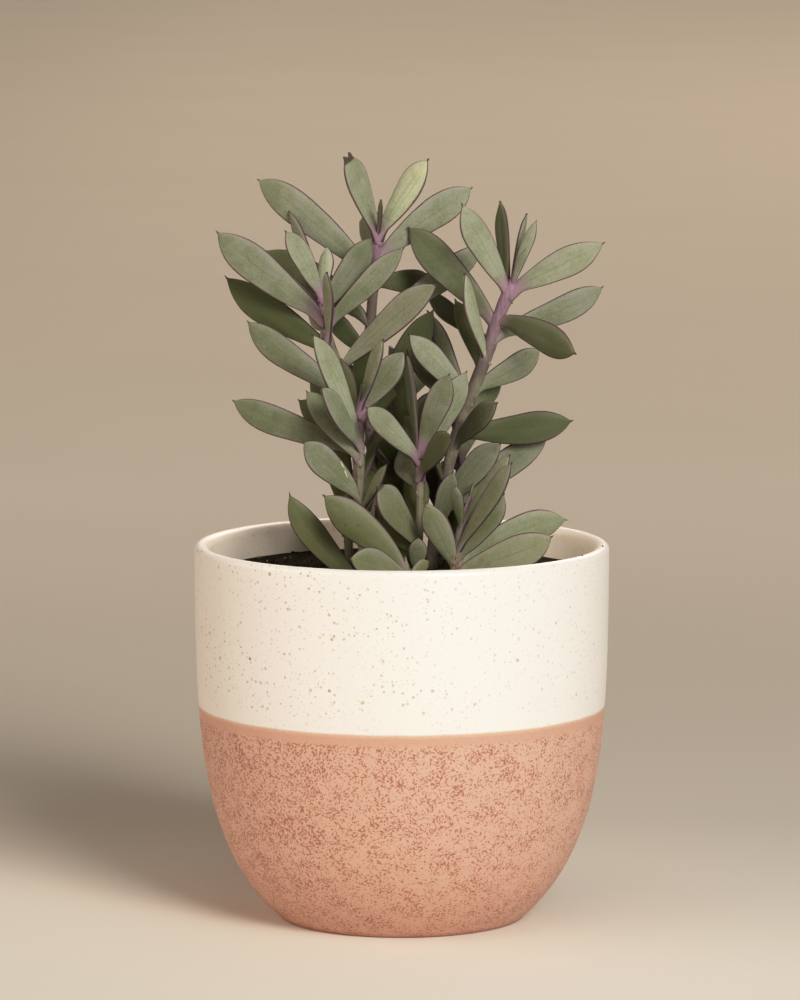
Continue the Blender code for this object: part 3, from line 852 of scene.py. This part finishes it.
def stem_finish(settings):
    """Mauve where the stem is fresh, grey-brown towards the soil, with fine lengthwise streaks."""
    finish = Finish("mauve_bark")
    fresh = finish.attribute("stem_fresh")
    _, depth, height = finish.place.parts()
    streak = finish.place.stretch((1.0, 1.0, 0.16)).cloud(0.0009, 2.0, 0.6)
    patch = finish.place.cloud(0.006, 3.0)
    green = depth.rise(0.0, -0.008) * 0.28
    old = (patch + green).rise(0.45, 0.7).blend(settings.stem_grey, settings.stem_green)
    colour = (fresh + (patch - 0.5) * 0.5).rise(0.1, 0.8).blend(old, settings.mauve)
    colour = (streak.rise(0.55, 0.4) * 0.4).blend(colour, settings.stem_dark)
    # Low down at the back, where other stems and leaves keep the light out, it is darker.
    hidden = depth.rise(0.004, 0.02) * height.rise(0.17, 0.15)
    colour = (hidden * 0.8).blend(colour, settings.leaf_painted_shade)
    scar = finish.place.stretch((0.35, 0.35, 1.0)).cloud(0.0022, 2.0).rise(0.6, 0.68)
    colour = (scar * (1 - fresh) * 0.4).blend(colour, settings.stem_dark)
    finish.feed("Base Color", colour)
    finish.feed("Roughness", 0.5 + streak * 0.2)
    finish.relief(streak * 0.6 + patch * 0.4, 0.0003)
    return finish.material


def fibre_finish(name, light, dark):
    """Dry and streaked lengthwise in two colours."""
    finish = Finish(name)
    streak = finish.place.stretch((1.0, 1.0, 0.3)).cloud(0.0005, 2.0)
    finish.feed("Base Color", streak.rise(0.35, 0.65).blend(dark, light))
    finish.feed("Roughness", 0.7 + streak * 0.2)
    finish.relief(streak, 0.0001)
    return finish.material


def within(value):
    """The value, held between 0 and 1."""
    return min(max(value, 0.0), 1.0)


def on_spine(stem, height):
    """The place on the stem's spine at a height, in millimetres."""
    for low, high in zip(stem.spine, stem.spine[1:]):
        if height <= high[2] or high is stem.spine[-1]:
            share = (height - low[2]) / (high[2] - low[2])
            return Vector(low).lerp(Vector(high), within(share))


def eased_spine(stem, height):
    """The spine's place at a height with its corners rounded off."""
    around = (on_spine(stem, height - STEM_EASE) + on_spine(stem, height + STEM_EASE)) / 2
    place = (on_spine(stem, height) + around) / 2
    return Vector((place.x, place.y, height))


def stem_radius(stem, height):
    """The stem's radius at a height, a little thicker where each leaf joins it."""
    foot, top = stem.spine[0][2], stem.spine[-1][2]
    share = within((height - foot) / (top - foot))
    radius = stem.radius[0] + (stem.radius[1] - stem.radius[0]) * share
    offsets = [(height - leaf.at + JOINT_DROP) / JOINT_REACH for leaf in stem.leaves]
    swell = max(exp(-(offset**2)) for offset in offsets)
    bud = within((height - top + BUD_LENGTH) / BUD_LENGTH)
    return radius * (STEM_SLIM + JOINT_SWELL * swell) * (1 - BUD_TAPER * bud * bud)


def build_stem(name, stem):
    """The bare stem: a rod with joints that tapers to a bud among the youngest leaves."""
    top = stem.spine[-1][2]
    steps = round((top - SOIL_HEIGHT) / 2)
    heights = [STEM_FOOT, (STEM_FOOT + SOIL_HEIGHT) / 2, *spread(SOIL_HEIGHT, top - 1, steps)]
    places = [eased_spine(stem, height) for height in heights]
    radii = [stem_radius(stem, height) for height in heights]
    places += [eased_spine(stem, top), eased_spine(stem, top) + Vector((0, 0, BUD_POINT))]
    radii += [radii[-1] * 0.7, BUD_POINT_RADIUS]
    rod = smoothed(extrude_path(name + "_bark", places, radii, STEM_SIDES), 1)
    grown = min((top - stem.spine[0][2]) / STEM_GROWN, 1.0)
    reach = STEM_FRESH_LENGTH * stem.radius[1] / 2
    below = [top - vert.co.z / MM for vert in rod.data.vertices]
    write_numbers(rod.data, "stem_fresh", [grown * within(1 - drop / reach) for drop in below])
    return rod


def leaf_outline(share):
    """Half of a leaf's width at a share of its length, where the whole leaf is one unit wide."""
    widest = (LEAF_RISE / (LEAF_RISE + LEAF_FALL)) ** (1 / LEAF_FALL)
    peak = widest**LEAF_RISE * (1 - widest**LEAF_FALL)
    part = min(share / LEAF_POINT_START, 1.0)
    blade = part**LEAF_RISE * (1 - part**LEAF_FALL) / peak
    foot = LEAF_FOOT_WIDTH * max(1 - 2 * share, 0.0)
    point = LEAF_POINT_WIDTH * min((1 - share) / (1 - LEAF_POINT_START), 1.0)
    return max(blade + foot, point + LEAF_END_WIDTH) / 2


def leaf_blank():
    """The flat leaf that all are bent from, one unit long, wide and thick, from the origin on."""
    lanes = sorted({place * side for place, _ in LEAF_LANES for side in (-1, 1)})
    thickness = dict(LEAF_LANES)
    bpy.ops.object.select_all(action="DESELECT")
    bpy.ops.mesh.primitive_grid_add(
        x_subdivisions=len(LEAF_ROWS) - 1,
        y_subdivisions=len(lanes) - 1,
        size=1,
        location=(0.5, 0, -0.5),
    )
    blank = bpy.context.object
    blank.name = "leaf_blank"
    place_in_mesh(blank)
    bpy.ops.object.mode_set(mode="EDIT")
    bpy.ops.mesh.select_all(action="SELECT")
    bpy.ops.mesh.extrude_region_move(TRANSFORM_OT_translate={"value": (0, 0, 1)})
    bpy.ops.mesh.select_all(action="SELECT")
    bpy.ops.mesh.normals_make_consistent(inside=False)
    for index, lane in enumerate(lanes):
        old = index / (len(lanes) - 1) - 0.5
        select_where(blank, lambda vert: abs(vert.co.y - old) < 1e-4)
        bpy.ops.transform.resize(value=(1, 1, thickness[abs(lane)]), center_override=(0, 0, 0))
    bpy.ops.object.mode_set(mode="OBJECT")
    layer = blank.data.uv_layers[0]
    layer.name = "leaf"
    rows = [round(vert.co.x * (len(LEAF_ROWS) - 1)) for vert in blank.data.vertices]
    columns = [round((vert.co.y + 0.5) * (len(lanes) - 1)) for vert in blank.data.vertices]
    for vert, row, column in zip(blank.data.vertices, rows, columns):
        share, lane = LEAF_ROWS[row], lanes[column]
        thinner = LEAF_END_THINNING * max(share - LEAF_END_START, 0) / (1 - LEAF_END_START)
        thicker = LEAF_FOOT_SWELL * max(LEAF_FOOT_END - share, 0) / LEAF_FOOT_END
        height = vert.co.z * (1 - thinner + thicker)
        vert.co = (share, lane * leaf_outline(share), height)
    for loop in blank.data.loops:
        share, lane = LEAF_ROWS[rows[loop.vertex_index]], lanes[columns[loop.vertex_index]]
        layer.data[loop.index].uv = (share, lane / 2 + 0.5)
    only(blank)
    bpy.ops.object.shade_smooth()
    return blank


def bend_leaf(blank, stem, leaf, chance):
    """A copy of the blank from the stem to the leaf's tip, with its own slight curl and twist."""
    settings = bpy.context.scene.senecio_plant
    foot = on_spine(stem, leaf.at)
    foot.z = leaf.at
    midrib = Vector(leaf.tip) - foot
    along = midrib.normalized()
    upward = (Vector((0, 0, 1)) - along * along.z).normalized()
    side = along.cross(upward)
    curl = chance.uniform(-LEAF_CURL, LEAF_CURL)
    cup = chance.uniform(-LEAF_CUP, LEAF_CUP)
    twist = radians(chance.uniform(-LEAF_TWIST, LEAF_TWIST))
    pinch = chance.uniform(0.0, LEAF_PINCH)
    wave = chance.uniform(0, 2 * pi)
    blunt = chance.uniform(0.0, LEAF_BLUNT) if leaf.blunt is None else leaf.blunt
    thickness = settings.leaf_thickness / MM * min(LEAF_THINNEST + leaf.width / LEAF_WIDE, 1.0)
    top = stem.spine[-1][2]
    grown = min((top - stem.spine[0][2]) / LEAF_GROWN, 1.0)
    fresh = within(1 - (top - leaf.at) / LEAF_FRESH_LENGTH) * grown
    if leaf.width < BUD_LEAF_WIDTH and leaf.at > top - BUD_LEAF_REACH:
        fresh *= BUD_LEAF_FRESH
    mesh = blank.data.copy()
    for vert in mesh.vertices:
        share, lane, face = vert.co
        if leaf.dry and share > 1 - leaf.dry:
            # The withered end keeps most of its width and is bitten off unevenly.
            lane *= leaf_outline(1 - leaf.dry) / leaf_outline(share) * 0.9
            share -= (share - 1 + leaf.dry) * (0.45 + 0.4 * sin(wave + lane * 26))
        share += blunt * share * share * (1 - share)
        grip = max(1 - share / GRIP_SHARE, 0) ** 2
        turn = radians(leaf.turn) + twist * share * share
        across = upward * cos(turn) + side * sin(turn)
        outward = side * cos(turn) - upward * sin(turn)
        width = leaf.width * (1 - pinch * max(1 - share / 0.3, 0) ** 2)
        ripple = 0.03 * sin(wave + share * 9) * (1 if lane > 0 else -1)
        width *= 1 + ripple + 0.8 * grip * min(fresh, 1.0)
        arch = (share / LEAF_BEND) ** 1.3 * (max(1 - share, 0) / (1 - LEAF_BEND)) ** 0.7
        place = foot + midrib * share + upward * (arch * leaf.bow * midrib.length)
        place += Vector((0, 0, -GRIP_DROOP)) * grip
        place += across * (lane * width)
        depth = face * thickness * (1 + 0.7 * grip)
        place += outward * (depth + arch * curl * midrib.length + cup * lane * lane * 4 * width)
        vert.co = place * MM
    count = len(mesh.vertices)
    write_numbers(mesh, "leaf_tone_and_painted_light", [leaf.tone] * count)
    write_numbers(mesh, "leaf_seed", [chance.uniform(0, 1)] * count)
    write_numbers(mesh, "leaf_fresh", [fresh] * count)
    write_numbers(mesh, "leaf_dry", [leaf.dry * 0.8] * count)
    return new_copy("leaf", mesh)


def length_property(name, description, default):
    return bpy.props.FloatProperty(
        name=name, description=description, default=default, min=0.0, precision=4, unit="LENGTH"
    )


def colour_property(name, description, default):
    return bpy.props.FloatVectorProperty(
        name=name,
        description=description,
        default=default,
        size=3,
        min=0.0,
        max=1.0,
        subtype="COLOR",
    )


def number_property(name, description, default, unit="NONE"):
    return bpy.props.FloatProperty(name=name, description=description, default=default, unit=unit)


class SenecioPotSettings(bpy.types.PropertyGroup):
    """Sizes and glaze colours of the pot."""

    radius: length_property("Radius", "Widest outer radius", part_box("pot")[1].x)
    height: length_property("Height", "Height of the lip above the table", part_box("pot")[1].z)
    wall: length_property("Wall", "Thickness of the wall", 0.005)
    band_height: length_property("Band height", "Where the cream glaze ends", 0.0729)
    strip_height: length_property("Strip", "Height of the plain strip below the cream", 0.0037)
    cream: colour_property("Cream", "Upper glaze", (0.875, 0.828, 0.778))
    cream_shade: colour_property("Cream shade", "Slightly deeper upper glaze", (0.85, 0.80, 0.738))
    # Painted light: the warm light on the pot's inner wall, given as a warmer, brighter glaze.
    painted_light_lining: colour_property("Lining", "Warmer glaze inside the pot", (0.90, 0.80, 0.68))
    speck: colour_property("Specks", "Golden specks in the cream", (0.50, 0.33, 0.07))
    speck_dark: colour_property(
        "Dark specks", "Olive brown specks in the cream", (0.25, 0.17, 0.05)
    )
    strip: colour_property("Strip colour", "Plain strip below the cream", (0.585, 0.322, 0.232))
    strip_warm: colour_property(
        "Strip variation", "Warmer places in the strip", (0.605, 0.335, 0.24)
    )
    strip_edge: colour_property(
        "Strip edge", "Peach line where the glazes meet", (0.72, 0.50, 0.33)
    )
    clay: colour_property("Terracotta", "Lower glaze", (0.62, 0.365, 0.272))
    clay_light: colour_property(
        "Light terracotta", "Paler places in the lower glaze", (0.65, 0.395, 0.296)
    )
    clay_dark: colour_property(
        "Terracotta speckle", "Dark speckle of the lower glaze", (0.33, 0.115, 0.07)
    )


class SenecioPlantSettings(bpy.types.PropertyGroup):
    """Sizes and colours of the plant and its soil."""

    leaf_thickness: length_property("Leaf thickness", "Thickness of a full leaf", 0.0021)
    # Painted shade: near-black green for leaves and low back stems deep in the plant.
    leaf_painted_shade: colour_property("Shaded leaves", "Dark green among the stems", (0.045, 0.056, 0.013))
    leaf_old: colour_property(
        "Old leaves", "Darkest green, low on the stems", (0.122, 0.138, 0.072)
    )
    leaf_sage: colour_property("Sage leaves", "Green of most leaves", (0.235, 0.258, 0.165))
    leaf_young: colour_property("Young leaves", "Yellow-green at the tips", (0.555, 0.615, 0.39))
    leaf_shade: colour_property(
        "Mottling", "Darker green in the mottling and veins", (0.08, 0.09, 0.04)
    )
    leaf_bloom: colour_property("Bloom", "Pale waxy film", (0.335, 0.335, 0.29))
    leaf_stain: colour_property(
        "Stains", "Dusky patches on the older leaves", (0.115, 0.095, 0.075)
    )
    # Painted shade: a darker, yellower green on the leaves near the soil.
    leaf_low_painted_shade: colour_property("Low leaves", "Yellower tint near the soil", (0.16, 0.17, 0.045))
    # A mauve tint and a painted highlight along the leaf margins.
    leaf_mauve_and_highlight: colour_property("Blush", "Mauve tint near the margins", (0.335, 0.288, 0.27))
    leaf_margin: colour_property("Margin", "Dark purple line round a leaf", (0.065, 0.026, 0.042))
    leaf_point: colour_property("Point", "Nearly black point of a leaf", (0.045, 0.025, 0.025))
    mauve: colour_property("Mauve", "Fresh stem and the feet of the leaves", (0.262, 0.152, 0.212))
    stem_grey: colour_property("Grey stem", "Older stem", (0.108, 0.08, 0.068))
    stem_green: colour_property(
        "Green stem", "Greener places on the older stem", (0.18, 0.168, 0.104)
    )
    stem_dark: colour_property("Stem streaks", "Dark lengthwise streaks", (0.09, 0.055, 0.055))
    fibre_red: colour_property("Red fibre", "Dry fibres at the foot of a stem", (0.30, 0.155, 0.11))
    fibre_pale: colour_property("Pale fibre", "A dry straw among the leaves", (0.72, 0.64, 0.40))
    soil_dark: colour_property("Soil", "Damp dark soil", (0.010, 0.0088, 0.0042))
    soil_brown: colour_property("Brown soil", "Drier brown crumbs", (0.05, 0.034, 0.018))
    soil_pale: colour_property("Pale bits", "Few pale bits in the soil", (0.34, 0.28, 0.19))


class SenecioStageSettings(bpy.types.PropertyGroup):
    """Floor, light and camera."""

    floor: colour_property("Floor", "Floor and backdrop", (0.86, 0.80, 0.705))
    horizon: colour_property("Horizon", "Soft light from the sides", (0.15, 0.125, 0.098))
    zenith: colour_property("Zenith", "Soft light from overhead", (0.045, 0.043, 0.040))
    key_colour: colour_property("Key colour", "Cool light at the front right", (0.78, 0.885, 1.0))
    wash_colour: colour_property(
        "Wash colour", "Warm broad light from the same side", (1.0, 0.857, 0.666)
    )
    fill_colour: colour_property(
        "Fill colour", "Warm broad light from the left", (1.0, 0.807, 0.687)
    )
    far_colour: colour_property("Far colour", "Warm light on the far floor", (1.0, 0.81, 0.655))
    key_power: number_property("Key", "Watts of the light at the front right", 11.0, "POWER")
    wash_strength: number_property("Wash", "Strength of the broad light from the same side", 1.83)
    fill_strength: number_property("Fill", "Strength of the broad light from the left", 1.85)
    far_power: number_property("Far light", "Watts of the light over the far floor", 27.0, "POWER")
    back_strength: number_property("Back", "Strength of the light on the plant's back", 1.8)
    lens: number_property("Lens", "Focal length of the camera in millimetres", 215.2, "CAMERA")


class SENECIO_OT_pot(bpy.types.Operator):
    """Turn the pot with its rounded lip and glaze it in two colours"""

    bl_idname = "senecio.pot"
    bl_label = "Pot"

    def execute(self, context):
        settings = context.scene.senecio_pot
        pot = extrude_profile("glazed_pot", pot_profile(settings.height / MM), POT_SIDES)
        only(pot)
        bpy.ops.object.shade_smooth_by_angle(angle=radians(35))
        finish_piece(pot, glaze(settings), "pot_glaze", "pot")
        return {"FINISHED"}


class SENECIO_OT_soil(bpy.types.Operator):
    """Fill the pot with lumpy soil and scatter crumbs on it"""

    bl_idname = "senecio.soil"
    bl_label = "Soil"

    def execute(self, context):
        settings = context.scene.senecio_plant
        level = SOIL_HEIGHT - SOIL_DIP
        edge = inner_radius(level) - SOIL_GAP
        rings = spread(edge - 1.5, 1, SOIL_RINGS)
        floor = (inner_radius(FLOOR_HEIGHT) - FLOOR_INSET - SOIL_GAP, FLOOR_HEIGHT + SOIL_GAP)
        side = [(inner_radius(row) - SOIL_GAP, row) for row in spread(SOIL_FOOT, level - 0.6, 8)]
        top = [(radius, SOIL_HEIGHT - SOIL_DIP * radius / edge) for radius in rings]
        soil = extrude_profile("soil_fill", [floor, *side, (edge - 0.4, level), *top], SOIL_SIDES)
        self.roughen(soil, edge)
        only(soil)
        bpy.ops.object.shade_smooth()
        finish_piece(soil, soil_finish(settings), "soil", "soil")
        finish_piece(self.crumbs(edge), crumb_finish(settings), "soil")
        return {"FINISHED"}

    def roughen(self, soil, edge):
        """Raises and sinks the top in small clods."""
        group = soil.vertex_groups.new(name="top")
        for vert in soil.data.vertices:
            if vert.co.z / MM > SOIL_HEIGHT - SOIL_DIP - 0.1:
                group.add([vert.index], within((edge - vert.co.xy.length / MM) / 3), "REPLACE")
        for size, depth in CLODS:
            clouds = bpy.data.textures.new("clods", "CLOUDS")
            clouds.noise_scale = size
            lift = soil.modifiers.new("Clods", "DISPLACE")
            lift.texture = clouds
            lift.texture_coords = "LOCAL"
            lift.direction = "Z"
            lift.vertex_group = "top"
            lift.strength = depth
            lift.mid_level = 0.5
        apply_all(soil)

    def crumbs(self, edge):
        """One lump copied over the soil, with two bits on the lip."""
        bpy.ops.object.select_all(action="DESELECT")
        bpy.ops.mesh.primitive_ico_sphere_add(subdivisions=2, radius=0.5)
        lump = bpy.context.object
        bpy.ops.object.mode_set(mode="EDIT")
        bpy.ops.mesh.select_all(action="SELECT")
        bpy.ops.transform.vertex_random(offset=0.11, uniform=1.0, normal=0.0, seed=4)
        bpy.ops.transform.resize(value=(1, 0.8, 0.62), center_override=(0, 0, 0))
        bpy.ops.object.mode_set(mode="OBJECT")
        chance = random.Random(17)
        places = []
        while len(places) < CRUMB_COUNT:
            x, y = chance.uniform(-edge, edge), chance.uniform(-edge, edge)
            inward = edge - Vector((x, y)).length
            size = CRUMB_SPREAD * chance.random() ** 4 * min(1.0, inward / CRUMB_FADE)
            size += CRUMB_SMALLEST
            if inward > size + CRUMB_WALL_GAP:
                places.append((Vector((x, y, SOIL_HEIGHT - 0.5 + size * 0.12)), size))
        for turn, size in LIP_BITS:
            across = Vector((cos(radians(turn)), sin(radians(turn)))) * LIP_BIT_RADIUS
            places.append((Vector((*across, LIP_BIT_HEIGHT)), size))
        copies = []
        for place, size in places:
            mesh = lump.data.copy()
            turn = Euler([chance.uniform(0, 2 * pi) for _ in range(3)]).to_matrix().to_4x4()
            mesh.transform(Matrix.Translation(place * MM) @ turn @ Matrix.Scale(size * MM, 4))
            write_numbers(mesh, "crumb_tone", [chance.random()] * len(mesh.vertices))
            copies.append(new_copy("crumb", mesh))
        bpy.data.objects.remove(lump)
        crumbs = joined(copies, "soil_crumbs")
        only(crumbs)
        bpy.ops.object.shade_smooth_by_angle(angle=radians(50))
        return crumbs


class SENECIO_OT_stems(bpy.types.Operator):
    """Grow the ten bare stems from the soil"""

    bl_idname = "senecio.stems"
    bl_label = "Stems"

    def execute(self, context):
        bark = stem_finish(context.scene.senecio_plant)
        for name, stem in STEMS.items():
            finish_piece(build_stem(name, stem), bark, "leaf", name)
        return {"FINISHED"}


class SENECIO_OT_leaves(bpy.types.Operator):
    """Bend a leaf from the blank for each place on the stems"""

    bl_idname = "senecio.leaves"
    bl_label = "Leaves"

    def execute(self, context):
        green = leaf_finish(context.scene.senecio_plant)
        blank = leaf_blank()
        for order, (name, stem) in enumerate(STEMS.items()):
            chance = random.Random(100 + order)
            copies = [bend_leaf(blank, stem, leaf, chance) for leaf in stem.leaves]
            finish_piece(joined(copies, name + "_leaves"), green, "leaf", name)
        bpy.data.objects.remove(blank)
        return {"FINISHED"}


class SENECIO_OT_fibres(bpy.types.Operator):
    """Add the dry fibres at the foot of a stem and the straw among the leaves"""

    bl_idname = "senecio.fibres"
    bl_label = "Dry fibres"

    def execute(self, context):
        settings = context.scene.senecio_plant
        red = fibre_finish("dry_red_fibre", settings.fibre_red, settings.stem_dark)
        pale = fibre_finish("dry_straw", settings.fibre_pale, settings.stem_grey)
        for hue, material in (("red", red), ("pale", pale)):
            copies = []
            for kind, places, width in FIBRES:
                if kind != hue:
                    continue
                count = len(places)
                radii = [width / 2 * (1 - FIBRE_TAPER * step / count) for step in range(count)]
                copies.append(smoothed(extrude_path("fibre", places, radii, FIBRE_SIDES), 2))
            finish_piece(joined(copies, "dry_fibres_" + hue), material, "leaf")
        return {"FINISHED"}


class SENECIO_OT_stage(bpy.types.Operator):
    """Lay the floor and set up the lights and the camera"""

    bl_idname = "senecio.stage"
    bl_label = "Stage"

    def execute(self, context):
        settings = context.scene.senecio_stage
        scene = context.scene
        pieces = [piece for piece in scene.objects if piece.type == "MESH"]
        pot = [piece for piece in pieces if piece.name == "glazed_pot"]
        not_soil = [piece for piece in pieces if "soil" not in piece.name]
        key, wash = settings.key_colour, settings.wash_colour
        fill, far = settings.fill_colour, settings.far_colour
        self.soften_highlights(scene.view_settings)
        self.floor(settings)
        self.world(scene, settings)
        self.softbox("key", 28, 28, 1.4, 0.7, settings.key_power, key)
        self.broad_light("key_wash", 28, 27, 20, settings.wash_strength, wash)
        self.broad_light("left_fill", -72, 14, 70, settings.fill_strength, fill)
        self.aimed_light("far_window", (2.4, 4.0, 2.4), (2.4, 4.0, 0), 2.5, settings.far_power, far)
        self.aimed_light("front_top", (0.1, -0.45, 1.0), (0.1, -0.45, 0), 0.5, 1.5, wash)
        self.aimed_light("left_top", (-0.75, -0.15, 0.75), (0, 0, 0.1), 0.5, 0.15, fill)
        self.aimed_light("inner_fill", (-0.03, 0, 0.145), (0.065, 0, 0.135), 0.05, 0.032, wash)
        self.reach_only(context.object, pot, pot)
        self.broad_light("back_fill", 170, 38, 40, settings.back_strength, fill)
        self.reach_only(context.object, not_soil, pieces)
        bpy.ops.object.camera_add(location=CAMERA_PLACE, rotation=(radians(CAMERA_TILT), 0, 0))
        camera = context.object
        camera.data.lens = settings.lens
        camera.data.sensor_width = 36
        camera.data.clip_end = 100
        scene.camera = camera
        return {"FINISHED"}

    def soften_highlights(self, view):
        """Compresses the brightest tones, as a camera does, and leaves the others as they are."""
        view.view_transform = "Standard"
        view.use_curve_mapping = True
        mapping = view.curve_mapping
        mapping.white_level = (WHITE_LEVEL,) * 3
        tones = mapping.curves[3]
        tones.points[0].location = (0, 0)
        tones.points[1].location = (1, HIGHLIGHTS[-1][1])
        for level, shown in HIGHLIGHTS[:-1]:
            tones.points.new(level / WHITE_LEVEL, shown)
        for point in tones.points[:2]:
            point.handle_type = "VECTOR"
        mapping.update()

    def floor(self, settings):
        """A wide round floor, with painted shade at the left and behind the plant."""
        bpy.ops.object.select_all(action="DESELECT")
        bpy.ops.mesh.primitive_circle_add(vertices=96, radius=14, fill_type="NGON")
        floor = bpy.context.object
        floor.name = "floor"
        finish = Finish("floor_paper", Specular_IOR_Level=0.1)
        x, y, _ = finish.place.parts()
        left = x.rise(-0.15, -0.6)
        behind = y.rise(0.02, 0.2) * y.rise(1.2, 0.35)
        # Painted shade: the floor darkens to the left and behind the plant; the faint cloud is the
        # paper's own tone.
        tone_and_painted_shade = finish.place.cloud(0.25, 2.0) * 0.06 + left * 0.14 + behind * 0.27
        finish.feed("Base Color", tone_and_painted_shade.blend(settings.floor, settings.horizon))
        finish.feed("Roughness", 0.75 + tone_and_painted_shade * 0.15)
        floor.data.materials.append(finish.material)

    def world(self, scene, settings):
        """Soft light from all round, brighter near the horizon than overhead."""
        world = bpy.data.worlds.new("soft_surroundings")
        world.use_nodes = True
        background = world.node_tree.nodes["Background"]
        direction = Signal(world.node_tree).node("ShaderNodeTexCoord", output="Generated")
        height = direction.parts()[2]
        colour = height.rise(0.0, 0.6).blend(settings.horizon, settings.zenith)
        world.node_tree.links.new(colour.socket, background.inputs["Color"])
        scene.world = world

    def softbox(self, name, turn, rise, distance, size, power, colour):
        """A large square light that faces the plant."""
        away, aim = self.direction(turn, rise)
        self.lamp(name, "AREA", away * distance + Vector((0, 0, 0.12)), aim, power, colour)
        bpy.context.object.data.size = size

    def broad_light(self, name, turn, rise, spread_angle, strength, colour):
        """Soft light from one side that reaches the far floor as strongly as the plant."""
        away, aim = self.direction(turn, rise)
        self.lamp(name, "SUN", away * 3, aim, strength, colour)
        bpy.context.object.data.angle = radians(spread_angle)

    def aimed_light(self, name, place, target, size, power, colour):
        """A square light at a place, which faces another."""
        aim = (Vector(target) - Vector(place)).to_track_quat("-Z", "Y").to_euler()
        self.lamp(name, "AREA", place, aim, power, colour)
        bpy.context.object.data.size = size

    def reach_only(self, light, lit, shading):
        """The light reaches only the first pieces, and only the second ones cast its shadows."""
        for role, pieces in (("receiver", lit), ("blocker", shading)):
            group = bpy.data.collections.new(light.name + "_" + role)
            for piece in pieces:
                group.objects.link(piece)
            setattr(light.light_linking, role + "_collection", group)

    def direction(self, turn, rise):
        """The way to a light that many degrees right of the camera and up, and its aim."""
        turn, rise = radians(turn), radians(rise)
        away = Vector((sin(turn) * cos(rise), -cos(turn) * cos(rise), sin(rise)))
        return away, (-away).to_track_quat("-Z", "Y").to_euler()

    def lamp(self, name, kind, place, aim, energy, colour):
        bpy.ops.object.light_add(type=kind, location=place, rotation=aim)
        light = bpy.context.object
        light.name = name
        light.visible_camera = False
        light.data.energy = energy
        light.data.color = colour


class SENECIO_PT_parts(bpy.types.Panel):
    """Lists the pieces in the order in which they are made"""

    bl_label = "Potted senecio"
    bl_idname = "SENECIO_PT_parts"
    bl_space_type = "VIEW_3D"
    bl_region_type = "UI"
    bl_category = "Senecio"

    def draw(self, context):
        for group in SETTINGS:
            settings = getattr(context.scene, group)
            box = self.layout.box()
            for name in settings.__annotations__:
                box.prop(settings, name)
        for operator in OPERATORS:
            self.layout.operator(operator.bl_idname)


OPERATORS = (
    SENECIO_OT_pot,
    SENECIO_OT_soil,
    SENECIO_OT_stems,
    SENECIO_OT_leaves,
    SENECIO_OT_fibres,
    SENECIO_OT_stage,
)
SETTINGS = {
    "senecio_pot": SenecioPotSettings,
    "senecio_plant": SenecioPlantSettings,
    "senecio_stage": SenecioStageSettings,
}


def register():
    for name, group in SETTINGS.items():
        bpy.utils.register_class(group)
        setattr(bpy.types.Scene, name, bpy.props.PointerProperty(type=group))
    for kind in (*OPERATORS, SENECIO_PT_parts):
        bpy.utils.register_class(kind)


def unregister():
    for kind in (SENECIO_PT_parts, *reversed(OPERATORS)):
        bpy.utils.unregister_class(kind)
    for name, group in SETTINGS.items():
        delattr(bpy.types.Scene, name)
        bpy.utils.unregister_class(group)


def main():
    register()
    bpy.ops.senecio.pot()
    bpy.ops.senecio.soil()
    bpy.ops.senecio.stems()
    bpy.ops.senecio.leaves()
    bpy.ops.senecio.fibres()
    bpy.ops.senecio.stage()


if __name__ == "__main__":
    main()
